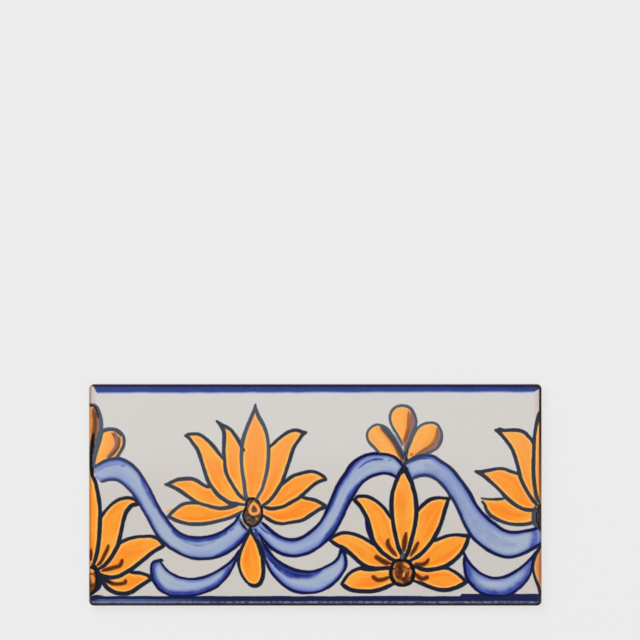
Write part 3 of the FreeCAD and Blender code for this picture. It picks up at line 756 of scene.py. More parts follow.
@dataclass
class TileBlank:
    """The fired slab before painting: a fine face, its rolled edge, the sides and the keyed back.

    Sizes are in millimetres.

    Attributes:
        cell: Spacing of the face's mesh.
        corner_radius: Radius of the tile's corners in plan.
        roll_radius: Radius of the edge that the glaze rolls over.
        roll_steps: Rings of faces round that edge.
        wall_steps: Rings of faces down the sides.
        corner_steps: Steps round each corner.
        face_drop: How far the bare glaze lies under the CAD face, as room for the relief.
        skirt: Height at which the sides meet the mesh of the back.
        back_limit: Faces of the solid wholly under this height belong to the back.
        weld: Points of the solid nearer than this, in metres, become one.
        sharp_angle: Edges that turn by more than this, in radians, stay crisp.
        atlas: Side of the square that the bake map covers.
        atlas_gap: Gap between the islands of that map.
        back_scale: Scale of the back in that map.
    """

    cell: float = 0.52
    corner_radius: float = 2.2
    roll_radius: float = 1.8
    roll_steps: int = 8
    wall_steps: int = 4
    corner_steps: int = 6
    face_drop: float = 0.1
    skirt: float = 1.4
    back_limit: float = 1.0
    weld: float = 1e-7
    sharp_angle: float = 0.5
    atlas: float = 217.0
    atlas_gap: float = 2.0
    back_scale: float = 0.95

    def __post_init__(self) -> None:
        """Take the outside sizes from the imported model."""
        low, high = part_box(TILE_NODE)
        self.half_x = (high[0] - low[0]) / 2 / MM
        self.half_y = (high[1] - low[1]) / 2 / MM
        self.top = high[2] / MM - self.face_drop
        self.points: list[tuple[float, float, float]] = []
        self.flat: list[tuple[float, float]] = []
        self.facing: list[float] = []
        self.faces: list[tuple[int, ...]] = []

    def build(self, name: str) -> bpy.types.Object:
        """Make the whole slab as one closed mesh.

        Args:
            name: Name of the new object.

        Returns:
            The slab, with its bake map and its "face" attribute.
        """
        rim, outward = self._face()
        skirt = self._edge_and_sides(rim, outward)
        front_faces = self._join_back(skirt)
        mesh = bpy.data.meshes.new(name)
        points = [tuple(part * MM for part in point) for point in self.points]
        mesh.from_pydata(points, [], self.faces)
        mesh.validate()
        facing = mesh.attributes.new("face", "FLOAT", "POINT")
        facing.data.foreach_set("value", self.facing)
        self._bake_map(mesh, front_faces)
        mesh.shade_smooth()
        mesh.set_sharp_from_angle(angle=self.sharp_angle)
        return placed(name, mesh)

    def _add(self, x: float, y: float, z: float, flat: tuple[float, float], facing: float) -> int:
        """Add one point with its place in the unrolled face, and return its number."""
        self.points.append((x, y, z))
        self.flat.append(flat)
        self.facing.append(facing)
        return len(self.points) - 1

    def _lines(self, half: float) -> np.ndarray:
        """The mesh lines across the flat of the face along one axis.

        Args:
            half: Half of the tile's size along it.

        Returns:
            The places of the lines, with a narrow first and last cell for the corners.
        """
        flat = half - self.roll_radius
        inner = half - self.corner_radius
        count = int(round(2 * inner / self.cell)) + 1
        return np.concatenate([[-flat], np.linspace(-inner, inner, count), [flat]])

    def _face(self) -> tuple[list[int], np.ndarray]:
        """Make the flat of the face.

        Returns:
            The numbers of the points round it, anticlockwise, and the outward direction at each.
        """
        xs, ys = self._lines(self.half_x), self._lines(self.half_y)
        last_x, last_y = len(xs) - 1, len(ys) - 1
        corners = {(0, 0), (last_x, 0), (0, last_y), (last_x, last_y)}
        number = {}
        for j, y in enumerate(ys):
            for i, x in enumerate(xs):
                if (i, j) not in corners:
                    number[i, j] = self._add(x, y, self.top, (x, y), 1.0)
        for j in range(last_y):
            for i in range(last_x):
                cell = [(i, j), (i + 1, j), (i + 1, j + 1), (i, j + 1)]
                if not corners & set(cell):
                    self.faces.append(tuple(number[c] for c in cell))
        sides = [
            ([(i, 0) for i in range(1, last_x)], (0, -1), (last_x - 1, 1)),
            ([(last_x, j) for j in range(1, last_y)], (1, 0), (last_x - 1, last_y - 1)),
            ([(i, last_y) for i in range(last_x - 1, 0, -1)], (0, 1), (1, last_y - 1)),
            ([(0, j) for j in range(last_y - 1, 0, -1)], (-1, 0), (1, 1)),
        ]
        rim, outward = [], []
        for turn, (side, normal, corner) in enumerate(sides):
            rim += [number[c] for c in side]
            outward += [normal] * len(side)
            following = sides[(turn + 1) % len(sides)]
            arc, normals = self._corner(number[corner], normal, following[1])
            fan = [number[side[-1]], *arc, number[following[0][0]]]
            self.faces += [(number[corner], one, two) for one, two in zip(fan, fan[1:])]
            rim += arc
            outward += normals
        return rim, np.array(outward, float)

    def _corner(self, centre: int, start: tuple, end: tuple) -> tuple[list[int], list[tuple]]:
        """Add the points between two sides, round a corner of the flat.

        Args:
            centre: Number of the point in the middle of the corner's arc.
            start: Outward direction of the side before it.
            end: Outward direction of the side after it.

        Returns:
            The numbers of the points and the outward direction at each.
        """
        radius = self.corner_radius - self.roll_radius
        x, y, z = self.points[centre]
        arc, normals = [], []
        for step in range(1, self.corner_steps):
            angle = 0.5 * np.pi * step / self.corner_steps
            across = np.cos(angle) * np.array(start) + np.sin(angle) * np.array(end)
            place = (x + radius * across[0], y + radius * across[1])
            arc.append(self._add(*place, z, place, 1.0))
            normals.append(tuple(across))
        return arc, normals

    def _edge_and_sides(self, rim: list[int], outward: np.ndarray) -> list[int]:
        """Roll the edge over and take the sides down to the skirt.

        Args:
            rim: The points round the flat.
            outward: The outward direction at each.

        Returns:
            The numbers of the lowest ring's points.
        """
        radius = self.roll_radius
        profile = []
        for step in range(1, self.roll_steps + 1):
            angle = 0.5 * np.pi * step / self.roll_steps
            profile.append((radius * np.sin(angle), radius * (1 - np.cos(angle)), radius * angle))
        wall = self.top - radius - self.skirt
        for step in range(1, self.wall_steps + 1):
            drop = wall * step / self.wall_steps
            profile.append((radius, radius + drop, radius * np.pi / 2 + drop))
        upper = rim
        for reach, drop, arc in profile:
            lower = []
            for point, (nx, ny) in zip(rim, outward):
                x, y, z = self.points[point]
                flat = (x + nx * arc, y + ny * arc)
                facing = max(0.0, 1.0 - drop / radius) ** 0.5
                lower.append(self._add(x + nx * reach, y + ny * reach, z - drop, flat, facing))
            for i in range(len(rim)):
                k = (i + 1) % len(rim)
                self.faces.append((lower[i], lower[k], upper[k], upper[i]))
            upper = lower
        return upper

    def _join_back(self, skirt: list[int]) -> int:
        """Take the back from the solid and close the gap between it and the sides.

        Args:
            skirt: The lowest ring of the sides.

        Returns:
            How many of the faces belong to the front, the edge and the sides.
        """
        back = bmesh.new()
        back.from_mesh(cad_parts[TILE_NODE].data)
        bmesh.ops.remove_doubles(back, verts=back.verts, dist=self.weld)
        high = [f for f in back.faces if max(v.co.z for v in f.verts) > self.back_limit * MM]
        bmesh.ops.delete(back, geom=high, context="FACES")
        edge = [e for e in back.edges if len(e.link_faces) == 1]
        loop = self._ordered(edge)
        number = {}
        for vert in back.verts:
            x, y, z = (c / MM for c in vert.co)
            number[vert] = self._add(x, y, z, self._unrolled(x, y, z), 0.0)
        self._zip(skirt, [number[v] for v in loop])
        front_faces = len(self.faces)
        self.faces += [tuple(number[v] for v in f.verts) for f in back.faces]
        back.free()
        return front_faces

    def _ordered(self, edges: list) -> list:
        """Put the edge points of the back in order, anticlockwise seen from the face.

        Args:
            edges: The open edges of the back.

        Returns:
            The points, from the left end of the bottom side on.
        """
        beside = {}
        for edge in edges:
            for one, two in (edge.verts, reversed(edge.verts)):
                beside.setdefault(one, []).append(two)
        start = min(beside, key=lambda v: (round(v.co.y / MM, 3), v.co.x))
        loop = [start, max(beside[start], key=lambda v: v.co.x)]
        while True:
            onward = [v for v in beside[loop[-1]] if v is not loop[-2]][0]
            if onward is start:
                return loop
            loop.append(onward)

    def _unrolled(self, x: float, y: float, z: float) -> tuple[float, float]:
        """Where a point of the lower edge lies once the sides are folded flat round the face."""
        inner = np.array([np.clip(x, -self.half_x + self.corner_radius, self.half_x - self.corner_radius),
                          np.clip(y, -self.half_y + self.corner_radius, self.half_y - self.corner_radius)])
        out = np.array([x, y]) - inner
        reach = np.linalg.norm(out) or 1.0
        arc = self.roll_radius * np.pi / 2 + self.top - self.roll_radius - z
        flat = inner + out / reach * (self.corner_radius - self.roll_radius + arc)
        return float(flat[0]), float(flat[1])

    def _zip(self, upper: list[int], lower: list[int]) -> None:
        """Close the strip between two rings with different numbers of points.

        Args:
            upper: The ring at the skirt.
            lower: The ring round the back.
        """
        along_upper, along_lower = self._shares(upper), self._shares(lower)
        i = j = 0
        while i < len(upper) or j < len(lower):
            one, two = upper[i % len(upper)], lower[j % len(lower)]
            if j >= len(lower) or (i < len(upper) and along_upper[i + 1] <= along_lower[j + 1]):
                self.faces.append((upper[(i + 1) % len(upper)], one, two))
                i += 1
            else:
                self.faces.append((two, lower[(j + 1) % len(lower)], one))
                j += 1

    def _shares(self, ring: list[int]) -> np.ndarray:
        """How far round the ring each of its points is, from 0 to 1."""
        places = np.array([self.points[n][:2] for n in [*ring, ring[0]]])
        steps = np.linalg.norm(np.diff(places, axis=0), axis=1)
        return np.concatenate([[0.0], np.cumsum(steps)]) / steps.sum()

    def _bake_map(self, mesh: bpy.types.Mesh, front_faces: int) -> None:
        """Lay the face with its folded-out sides above the back, in one square.

        Args:
            mesh: The slab's mesh.
            front_faces: How many of its faces belong to the front.
        """
        reach = self.roll_radius * np.pi / 2 + self.top - self.roll_radius - self.roll_radius
        front_middle = self.atlas - self.atlas_gap - self.half_y - reach
        back_middle = self.atlas_gap + self.half_y * self.back_scale
        corners = np.zeros(len(mesh.loops), int)
        mesh.loops.foreach_get("vertex_index", corners)
        flat, points = np.array(self.flat), np.array(self.points)
        first_back = mesh.polygons[front_faces].loop_start
        places = flat[corners] + [self.atlas / 2, front_middle]
        turned = points[corners, :2] * [-self.back_scale, self.back_scale]
        places[first_back:] = turned[first_back:] + [self.atlas / 2, back_middle]
        layer = mesh.uv_layers.new(name="OFBake")
        layer.data.foreach_set("uv", (places / self.atlas).astype(np.float32).ravel())


@dataclass(frozen=True)
class Signal:
    """A number, colour or shape on its way through a node tree. Numbers take plain sums.

    Attributes:
        wire: The tree that it runs in.
        socket: The socket that it comes from.
    """

    wire: "Wiring"
    socket: bpy.types.NodeSocket

    def __add__(self, other: "Number") -> "Signal":
        """Add a number."""
        return self.wire.math("ADD", self, other)

    def __sub__(self, other: "Number") -> "Signal":
        """Take a number away."""
        return self.wire.math("SUBTRACT", self, other)

    def __mul__(self, other: "Number") -> "Signal":
        """Multiply by a number."""
        return self.wire.math("MULTIPLY", self, other)

    def __truediv__(self, other: "Number") -> "Signal":
        """Divide by a number."""
        return self.wire.math("DIVIDE", self, other)

    def or_more(self, other: "Number") -> "Signal":
        """The larger of this and another number."""
        return self.wire.math("MAXIMUM", self, other)

    def ramp(self, low: float, high: float, to_low: float = 0.0, to_high: float = 1.0) -> "Signal":
        """Turn a number into a soft step.

        Args:
            low: Where the step starts.
            high: Where it ends.
            to_low: What it gives before the start.
            to_high: What it gives after the end.

        Returns:
            The stepped number.
        """
        levels = {0: self, 1: low, 2: high, 3: to_low, 4: to_high}
        return self.wire.get("ShaderNodeMapRange", levels, interpolation_type="SMOOTHSTEP")

    def parts(self) -> list["Signal"]:
        """The three numbers of a vector."""
        made = self.wire.node("ShaderNodeSeparateXYZ", {0: self})
        return [Signal(self.wire, out) for out in made.outputs]


Number = float | Signal
Shade = Colour | Signal


@dataclass(frozen=True)
class Wiring:
    """Short words for building a node tree.

    Attributes:
        tree: The tree that nodes are added to.
    """

    tree: bpy.types.NodeTree

    def node(self, kind: str, values: dict | None = None, **settings) -> bpy.types.Node:
        """Add a node.

        Args:
            kind: Its type.
            values: What goes into its sockets, by number or name: a constant or a signal.
            settings: Its own properties.

        Returns:
            The new node.
        """
        made = self.tree.nodes.new(kind)
        for name, setting in settings.items():
            setattr(made, name, setting)
        for key, value in (values or {}).items():
            if isinstance(value, Signal):
                self.tree.links.new(value.socket, made.inputs[key])
            else:
                made.inputs[key].default_value = value
        return made

    def get(self, kind: str, values: dict | None = None, out: int | str = 0, **settings) -> Signal:
        """Add a node and return one of its outputs, by number or name."""
        return Signal(self, self.node(kind, values, **settings).outputs[out])

    def math(self, operation: str, *values: Number) -> Signal:
        """Add a sum of one or two numbers and return its result."""
        return self.get("ShaderNodeMath", dict(enumerate(values)), operation=operation)

    def vector(self, x: Number = 0.0, y: Number = 0.0, z: Number = 0.0) -> Signal:
        """Put three numbers together."""
        return self.get("ShaderNodeCombineXYZ", {0: x, 1: y, 2: z})

    def pick(self, share: Signal, one: Number, other: Number) -> Signal:
        """The first number where the share is 0, and the other where it is 1."""
        return self.get("ShaderNodeMix", {0: share, 2: one, 3: other})

    def noise(self, vector: Signal, scale: Number, detail: float) -> Signal:
        """Add a noise and return its number, from 0 to 1."""
        return self.get("ShaderNodeTexNoise", {"Vector": vector, "Scale": scale, "Detail": detail})

    def coats(self, colour: Shade, *coats: tuple[Signal, Shade]) -> Signal:
        """Lay coats over a colour, one after the other.

        Args:
            colour: The colour so far.
            coats: How much of each coat shows, and its colour.

        Returns:
            The colour with the coats.
        """
        for share, over in coats:
            sides = {6: colour, 7: over}
            values = {key: (*side, 1.0) if isinstance(side, tuple) else side for key, side in sides.items()}
            colour = self.get("ShaderNodeMix", {0: share, **values}, 2, data_type="RGBA")
        return colour


@dataclass
class Brushwork:
    """Lays the painting on the slab with one node tree.

    The strokes become curves and the filled shapes become stacked flat patches. The tree finds the
    nearest stroke and the topmost patch at each point of the slab, keeps what the glaze needs to
    know about them as attributes, and raises the pigment a little.

    Attributes:
        sample: Spacing of the points along a stroke, in metres.
        line_relief: How far the outline stands up, in metres.
        line_slope: Gap to the outline's edge where its ridge starts and ends, in millimetres.
        ground_relief: How far a filled shape stands up, in metres.
        swell: Height of the slow waves in the glaze, in metres.
        swell_scale: How many of those waves go to a metre.
        swell_detail: How many finer waves ride on them.
        layer_gap: Height between the patches of two layers, in metres.
        order_gap: Share of that height between two patches of one layer.
        patch_steps: Steps along a patch.
        patch_columns: Steps across a patch.
        seed_range: Range of the random start of a patch's streaks.
        ray_start: Height from which the patches are looked for, in metres.
    """

    sample: float = 0.12 * MM
    line_relief: float = 0.045 * MM
    line_slope: tuple[float, float] = (0.25, -0.7)
    ground_relief: float = 0.02 * MM
    swell: float = 0.025 * MM
    swell_scale: float = 55.0
    swell_detail: float = 2.0
    layer_gap: float = 1.0 * MM
    order_gap: float = 0.005
    patch_steps: int = 60
    patch_columns: int = 8
    seed_range: float = 50.0
    ray_start: float = 1.0

    def lay(self, slab: bpy.types.Object, painting: Painting, glaze: bpy.types.Material) -> bpy.types.Object:
        """Paint the slab.

        Args:
            slab: The slab; it is used up.
            painting: What goes on it.
            glaze: The finish that reads the attributes.

        Returns:
            The painted tile as a plain mesh object.
        """
        helpers = {kind.value: self._curves(kind.value, strokes)
                   for kind, strokes in painting.strokes.items()}
        helpers["filled_shapes"] = self._shapes(painting.patches)
        tree = self._tree(list(helpers))
        modifier = slab.modifiers.new("brushwork", "NODES")
        modifier.node_group = tree
        values = {**helpers, "Glaze": glaze, **self._measures()}
        for item in tree.interface.items_tree:
            if item.name in values:
                modifier[item.identifier] = values[item.name]
        depsgraph = bpy.context.evaluated_depsgraph_get()
        mesh = bpy.data.meshes.new_from_object(
            slab.evaluated_get(depsgraph), preserve_all_data_layers=True, depsgraph=depsgraph
        )
        name = slab.name
        for spare in [slab, *helpers.values()]:
            bpy.data.objects.remove(spare)
        mesh.name = name
        return placed(name, mesh)

    def _measures(self) -> dict[str, float]:
        """The numbers that the tree takes, by the names of its inputs."""
        return {"Sample": self.sample, "Line relief": self.line_relief, "Ground relief": self.ground_relief,
                "Swell": self.swell, "Swell scale": self.swell_scale}

    def _curves(self, name: str, strokes: list[Stroke]) -> bpy.types.Object:
        """Make one curve a stroke, with its width and tone on each point.

        Args:
            name: Name of the curves.
            strokes: The strokes of one brush.

        Returns:
            The curves' object.
        """
        paths = [trace(stroke.path) for stroke in strokes]
        curves = bpy.data.hair_curves.new(name)
        curves.add_curves([len(path) for path in paths])
        places = [(x * MM, y * MM, 0.0) for path in paths for x, y in path]
        curves.attributes["position"].data.foreach_set("vector", np.array(places).ravel())
        widths = [radius for stroke in strokes for radius in stroke.radii()]
        tones = [tone for stroke in strokes for tone in stroke.tones()]
        for label, values in (("half_width", widths), ("tone", tones)):
            curves.attributes.new(label, "FLOAT", "POINT").data.foreach_set("value", values)
        return placed(name, curves)

    def _shapes(self, patches: list[Patch]) -> bpy.types.Object:
        """Make the filled shapes as flat patches, stacked in the painter's order.

        Args:
            patches: The shapes.

        Returns:
            One mesh object with the colour and the brush direction on its points.
        """
        rng = np.random.default_rng(SEED)
        points, faces, ground, stripe, brush = [], [], [], [], []
        across = np.linspace(0.0, 1.0, self.patch_columns + 1)
        row = len(across)
        for order, patch in enumerate(patches):
            one, other = (self._even(trace(edge)) for edge in (patch.one, patch.other))
            height = (patch.layer + self.order_gap * order) * self.layer_gap
            seed = rng.uniform(0.0, self.seed_range)
            first = len(points)
            for step in range(self.patch_steps + 1):
                for share in across:
                    x, y = one[step] * (1 - share) + other[step] * share
                    points.append((x * MM, y * MM, height))
                    ground.append(patch.ground.value[:3])
                    stripe.append(patch.ground.value[3])
                    brush.append((share, step / self.patch_steps, seed))
            for step in range(self.patch_steps):
                for column in range(self.patch_columns):
                    a = first + step * row + column
                    faces.append((a, a + 1, a + 1 + row, a + row))
        mesh = bpy.data.meshes.new("filled_shapes")
        mesh.from_pydata(points, [], faces)
        for label, values in (("ground", ground), ("brush", brush)):
            layer = mesh.attributes.new(label, "FLOAT_VECTOR", "POINT")
            layer.data.foreach_set("vector", np.array(values, np.float32).ravel())
        mesh.attributes.new("stripe", "FLOAT", "POINT").data.foreach_set("value", stripe)
        return placed("filled_shapes", mesh)

    def _even(self, path: Points) -> np.ndarray:
        """Share a path out into points that lie evenly along its length."""
        places = np.array(path)
        steps = np.linalg.norm(np.diff(places, axis=0), axis=1)
        along = np.concatenate([[0.0], np.cumsum(steps)])
        wanted = np.linspace(0.0, along[-1], self.patch_steps + 1)
        return np.column_stack([np.interp(wanted, along, places[:, axis]) for axis in (0, 1)])

    def _tree(self, helper_names: list[str]) -> bpy.types.NodeTree:
        """Build the node tree.

        Args:
            helper_names: Names of the helper objects, which become its inputs.

        Returns:
            The tree.
        """
        tree = bpy.data.node_groups.new("brushwork", "GeometryNodeTree")
        sockets = {"Slab": "Geometry", **dict.fromkeys(helper_names, "Object"), "Glaze": "Material",
                   **dict.fromkeys(self._measures(), "Float")}
        for label, kind in sockets.items():
            tree.interface.new_socket(label, in_out="INPUT", socket_type=f"NodeSocket{kind}")
        tree.interface.new_socket("Tile", in_out="OUTPUT", socket_type="NodeSocketGeometry")
        wire = Wiring(tree)
        given = {out.name: Signal(wire, out) for out in tree.nodes.new("NodeGroupInput").outputs}
        place = wire.get("GeometryNodeInputPosition")
        flat = wire.get("ShaderNodeVectorMath", {0: place, 1: (1.0, 1.0, 0.0)}, operation="MULTIPLY")
        kept, line = self._strokes(given, flat)
        shapes = wire.get("GeometryNodeObjectInfo", {"Object": given["filled_shapes"]}, "Geometry")
        kinds = {"ground": "FLOAT_VECTOR", "brush": "FLOAT_VECTOR", "stripe": "FLOAT"}
        for label, kind in kinds.items():
            kept[label] = self._topmost(shapes, flat, label, kind)
        slab = given["Slab"]
        for label, value in kept.items():
            values = {"Geometry": slab, "Name": label, "Value": value}
            kind = kinds.get(label, "FLOAT_VECTOR")
            slab = wire.get("GeometryNodeStoreNamedAttribute", values, data_type=kind)
        rise = self._relief(given, place, line, [*kept["ground"].parts(), kept["stripe"]])
        slab = wire.get("GeometryNodeSetPosition", {"Geometry": slab, "Offset": wire.vector(z=rise)})
        slab = wire.get("GeometryNodeRealizeInstances", {"Geometry": slab})
        slab = wire.get("GeometryNodeSetMaterial", {"Geometry": slab, "Material": given["Glaze"]})
        tree.links.new(slab.socket, tree.nodes.new("NodeGroupOutput").inputs[0])
        return tree

    def _strokes(self, given: dict[str, Signal], flat: Signal) -> tuple[dict[str, Signal], Signal]:
        """Find the nearest outline and the nearest stroke of each tint.

        Args:
            given: The tree's inputs.
            flat: Where to look.

        Returns:
            The vectors to keep, by name, and the gap to the nearest outline. The outline's vector
            holds its gap, its tone, and 0 on the ribbon's lines or 1 on the others. A tint's holds
            its gap, its tone, and how far inside the stroke the point lies.
        """
        wire = flat.wire
        first, *others = [self._nearest(given, kind.value, flat) for kind in Round]
        line, line_tone, _ = first
        petal = 0.0
        for gap, tone, _ in others:
            closer = wire.math("LESS_THAN", gap, line)
            line_tone = wire.pick(closer, line_tone, tone)
            petal = wire.pick(closer, petal, 1.0)
            line = wire.math("MINIMUM", gap, line)
        kept = {"ink": wire.vector(line, line_tone, petal)}
        for tint in Tint:
            gap, tone, half = self._nearest(given, tint.value, flat)
            inside = (gap / half * -1.0).or_more(0.0)
            kept[tint.value] = wire.vector(gap, tone, inside)
        return kept, line

    def _nearest(self, given: dict[str, Signal], brush: str, flat: Signal) -> tuple[Signal, Signal, Signal]:
        """Find the nearest stroke of one brush.

        Args:
            given: The tree's inputs.
            brush: Name of the brush.
            flat: Where to look.

        Returns:
            The gap to the stroke's edge in millimetres, below zero inside it, then the stroke's
            tone and half its width in millimetres.
        """
        wire = flat.wire
        source = wire.get("GeometryNodeObjectInfo", {"Object": given[brush]}, "Geometry")
        bent = wire.get("GeometryNodeCurveSplineType", {"Curve": source}, spline_type="CATMULL_ROM")
        spaced = {"Curve": bent, "Length": given["Sample"]}
        fine = wire.get("GeometryNodeResampleCurve", spaced, mode="LENGTH")
        dots = wire.get("GeometryNodeCurveToPoints", {"Curve": fine}, mode="EVALUATED")
        index = wire.get("GeometryNodeSampleNearest", {0: dots, 1: flat})
        wanted = [(wire.get("GeometryNodeInputPosition"), "FLOAT_VECTOR")]
        wanted += [(self._attribute(wire, label, "FLOAT"), "FLOAT") for label in ("half_width", "tone")]
        found = []
        for value, kind in wanted:
            values = {"Geometry": dots, "Value": value, "Index": index}
            found.append(wire.get("GeometryNodeSampleIndex", values, data_type=kind))
        centre, half, tone = found
        away = wire.get("ShaderNodeVectorMath", {0: flat, 1: centre}, "Value", operation="DISTANCE")
        return away / MM - half, tone, half

    def _attribute(self, wire: Wiring, label: str, kind: str) -> Signal:
        """Read an attribute of a shape's points."""
        return wire.get("GeometryNodeInputNamedAttribute", {"Name": label}, data_type=kind)

    def _topmost(self, shapes: Signal, flat: Signal, label: str, kind: str) -> Signal:
        """Read an attribute of the topmost filled shape.

        Args:
            shapes: The filled shapes.
            flat: Where to look.
            label: The attribute.
            kind: Its type.

        Returns:
            Its value, or zero where there is no shape.
        """
        wire = flat.wire
        raised = {0: flat, 1: (0.0, 0.0, self.ray_start)}
        values = {
            "Target Geometry": shapes,
            "Attribute": self._attribute(wire, label, kind),
            "Source Position": wire.get("ShaderNodeVectorMath", raised, operation="ADD"),
            "Ray Direction": (0.0, 0.0, -1.0),
            "Ray Length": 2 * self.ray_start,
        }
        return wire.get("GeometryNodeRaycast", values, "Attribute", data_type=kind)

    def _relief(self, given: dict[str, Signal], place: Signal, line: Signal, fills: list[Signal]) -> Signal:
        """Work out how far each point of the face rises.

        Args:
            given: The tree's inputs.
            place: Where the point is.
            line: Gap to the nearest outline in millimetres.
            fills: The shares of the four ground colours.

        Returns:
            The rise in metres.
        """
        wire = place.wire
        orange, ribbon, heart, stripe = fills
        ridge = line.ramp(*self.line_slope) * given["Line relief"]
        cover = (orange + ribbon + (heart + stripe)) * given["Ground relief"]
        swell = wire.noise(place, given["Swell scale"], self.swell_detail) * given["Swell"]
        return (ridge + cover + swell) * self._attribute(wire, "face", "FLOAT")


@dataclass(frozen=True)
class GlazeSteps:
    """Where the glaze's coats change from one to the next.

    A grain is the scale and the detail of a noise. A step is where a change starts and ends, and
    what it gives before and after: 0 and 1 unless it says so. Places are in metres from the middle
    of the tile, gaps to the edge of a stroke are in millimetres, and the rest are shares.
    """

    # How far a brush edge strays, in millimetres
    pressure_grain: Grain = (110.0, 1.0)
    pressure: float = 0.55
    ragged_grain: Grain = (520.0, 2.0)
    ragged: float = 0.26
    # Bare white
    low_side_grain: Grain = (22.0, 3.0)
    low_side_wander: float = 0.03
    low_side_fade: Step = (0.03, -0.01)
    short_edges: Step = (0.0962, 0.0978)
    pit_grain: Grain = (1400.0, 1.0)
    pits: Step = (0.7, 0.8, 0.0, 0.25)
    face_end: Step = (0.999, 0.93)
    # Filled shapes
    fill_edge: Step = (0.3, 0.7)
    pull_grain: Grain = (1.0, 2.5)
    orange_pull: tuple[float, float] = (5.0, 1.6)
    orange_streaks: Step = (0.36, 0.6)
    orange_up: Step = (-0.012, 0.036, 0.0, 0.95)
    orange_grain: Grain = (70.0, 2.0)
    orange_patches: Step = (0.46, 0.74, 0.0, 0.5)
    orange_sides: Step = (0.26, 0.5, 0.0, 0.7)
    orange_halo: Step = (1.3, 0.1, 0.0, 0.6)
    blue_pull: tuple[float, float] = (2.0, 4.0)
    blue_uneven: float = 0.9
    blue_sides: Step = (0.14, 0.5)
    blue_drift: Step = (0.42, 0.62)
    heart_grain: Grain = (520.0, 2.0)
    heart_up: Step = (-0.025, -0.016)
    heart_dark: Step = (0.52, 0.36, 0.0, 0.6)
    heart_bright: Step = (0.54, 0.74, 0.0, 0.3)
    # Stripes
    stripe_edge: Step = (0.25, 0.75)
    stripe_grain: Grain = (90.0, 3.0)
    stripe_wander: float = 0.0008
    stripe_tilt: float = 0.002
    upper_bright: Step = (0.0482, 0.0464)
    upper_fade: Step = (0.0459, 0.0445)
    upper_end: Step = (0.044, 0.0447)
    lower_end: Step = (-0.0444, -0.0448)
    lower_raised: Step = (0.0636, 0.0648, 0.0, 0.001)
    # Painted highlight: a broken light line along the lower stripe, where the edge rolls over
    highlight_outer: Step = (-0.0485, -0.0478)
    highlight_inner: Step = (-0.0466, -0.0473)
    highlight_grain: Grain = (620.0, 4.0)
    highlight_gaps: Step = (0.34, 0.6, 0.25, 1.0)
    thin_left: Step = (-0.035, -0.085, 0.0, 0.85)
    thin_left_end: Step = (-0.098, -0.0945)
    thin_low: Step = (-0.0457, -0.0463)
    # Washes, soft marks and iron
    wash_grain: Grain = (240.0, 3.0)
    wash_cloud: Step = (0.3, 0.7, 0.75, 1.15)
    wash_edge: Step = (0.0, 0.95)
    wash_laid: Step = (0.0, 0.8)
    wash_pooled: Step = (0.45, 1.1)
    wash_wiped: Step = (0.0, 0.5)
    soft_edge: Step = (0.0, 0.55)
    iron_edge: Step = (0.3, -0.3)
    iron_pooled: Step = (0.2, 0.9)
    # Outline
    line_edge: Step = (0.24, -0.24)
    line_load: Step = (0.2, 1.0)
    soot_load: Step = (1.12, 1.25)
    over_orange: Step = (0.2, 0.9, 0.0, 0.8)
    over_heart: Step = (0.05, 0.6)
    petal_warmth: float = 0.65
    line_bled: Step = (1.5, 0.0, 0.0, 0.5)
    # Edge and sides
    rim: Step = (0.74, 0.54)
    rim_above: Step = (0.54, 0.74)
    turned: Step = (0.995, 0.95)
    rolled: Step = (1.0, 0.997)
    rolled_above: Step = (0.5, 0.7)
    # Painted shade on the turned edge: most at the lower side and high up on the right, a little on the left
    shade_right: Step = (0.09, 0.098)
    shade_right_up: Step = (-0.03, 0.034, 0.3, 1.0)
    shade_left: Step = (-0.09, -0.098, 0.0, 0.35)
    shade_low: Step = (-0.04, -0.047, 0.0, 0.9)
    drip_grain: Grain = (160.0, 3.0)
    drips: float = 0.0022
    glaze_foot: Step = (0.0047, 0.0043)
    clay_grain: Grain = (45.0, 4.0)
    clay_patches: Step = (0.35, 0.7, 0.0, 0.5)
    speck_grain: Grain = (1100.0, 2.0)
    specks: Step = (0.62, 0.75, 0.0, 0.6)
    # Gloss and fine unevenness
    roughness: Step = (0.0, 1.0, 0.16, 0.13)
    dull: float = 0.62
    shine: Step = (0.0, 1.0, 0.5, 0.08)
    skin_grain: Grain = (260.0, 2.0)
    skin: float = 0.12
    grit_grain: Grain = (1600.0, 3.0)
    bump_strength: float = 0.35
    bump_height: float = 0.0002


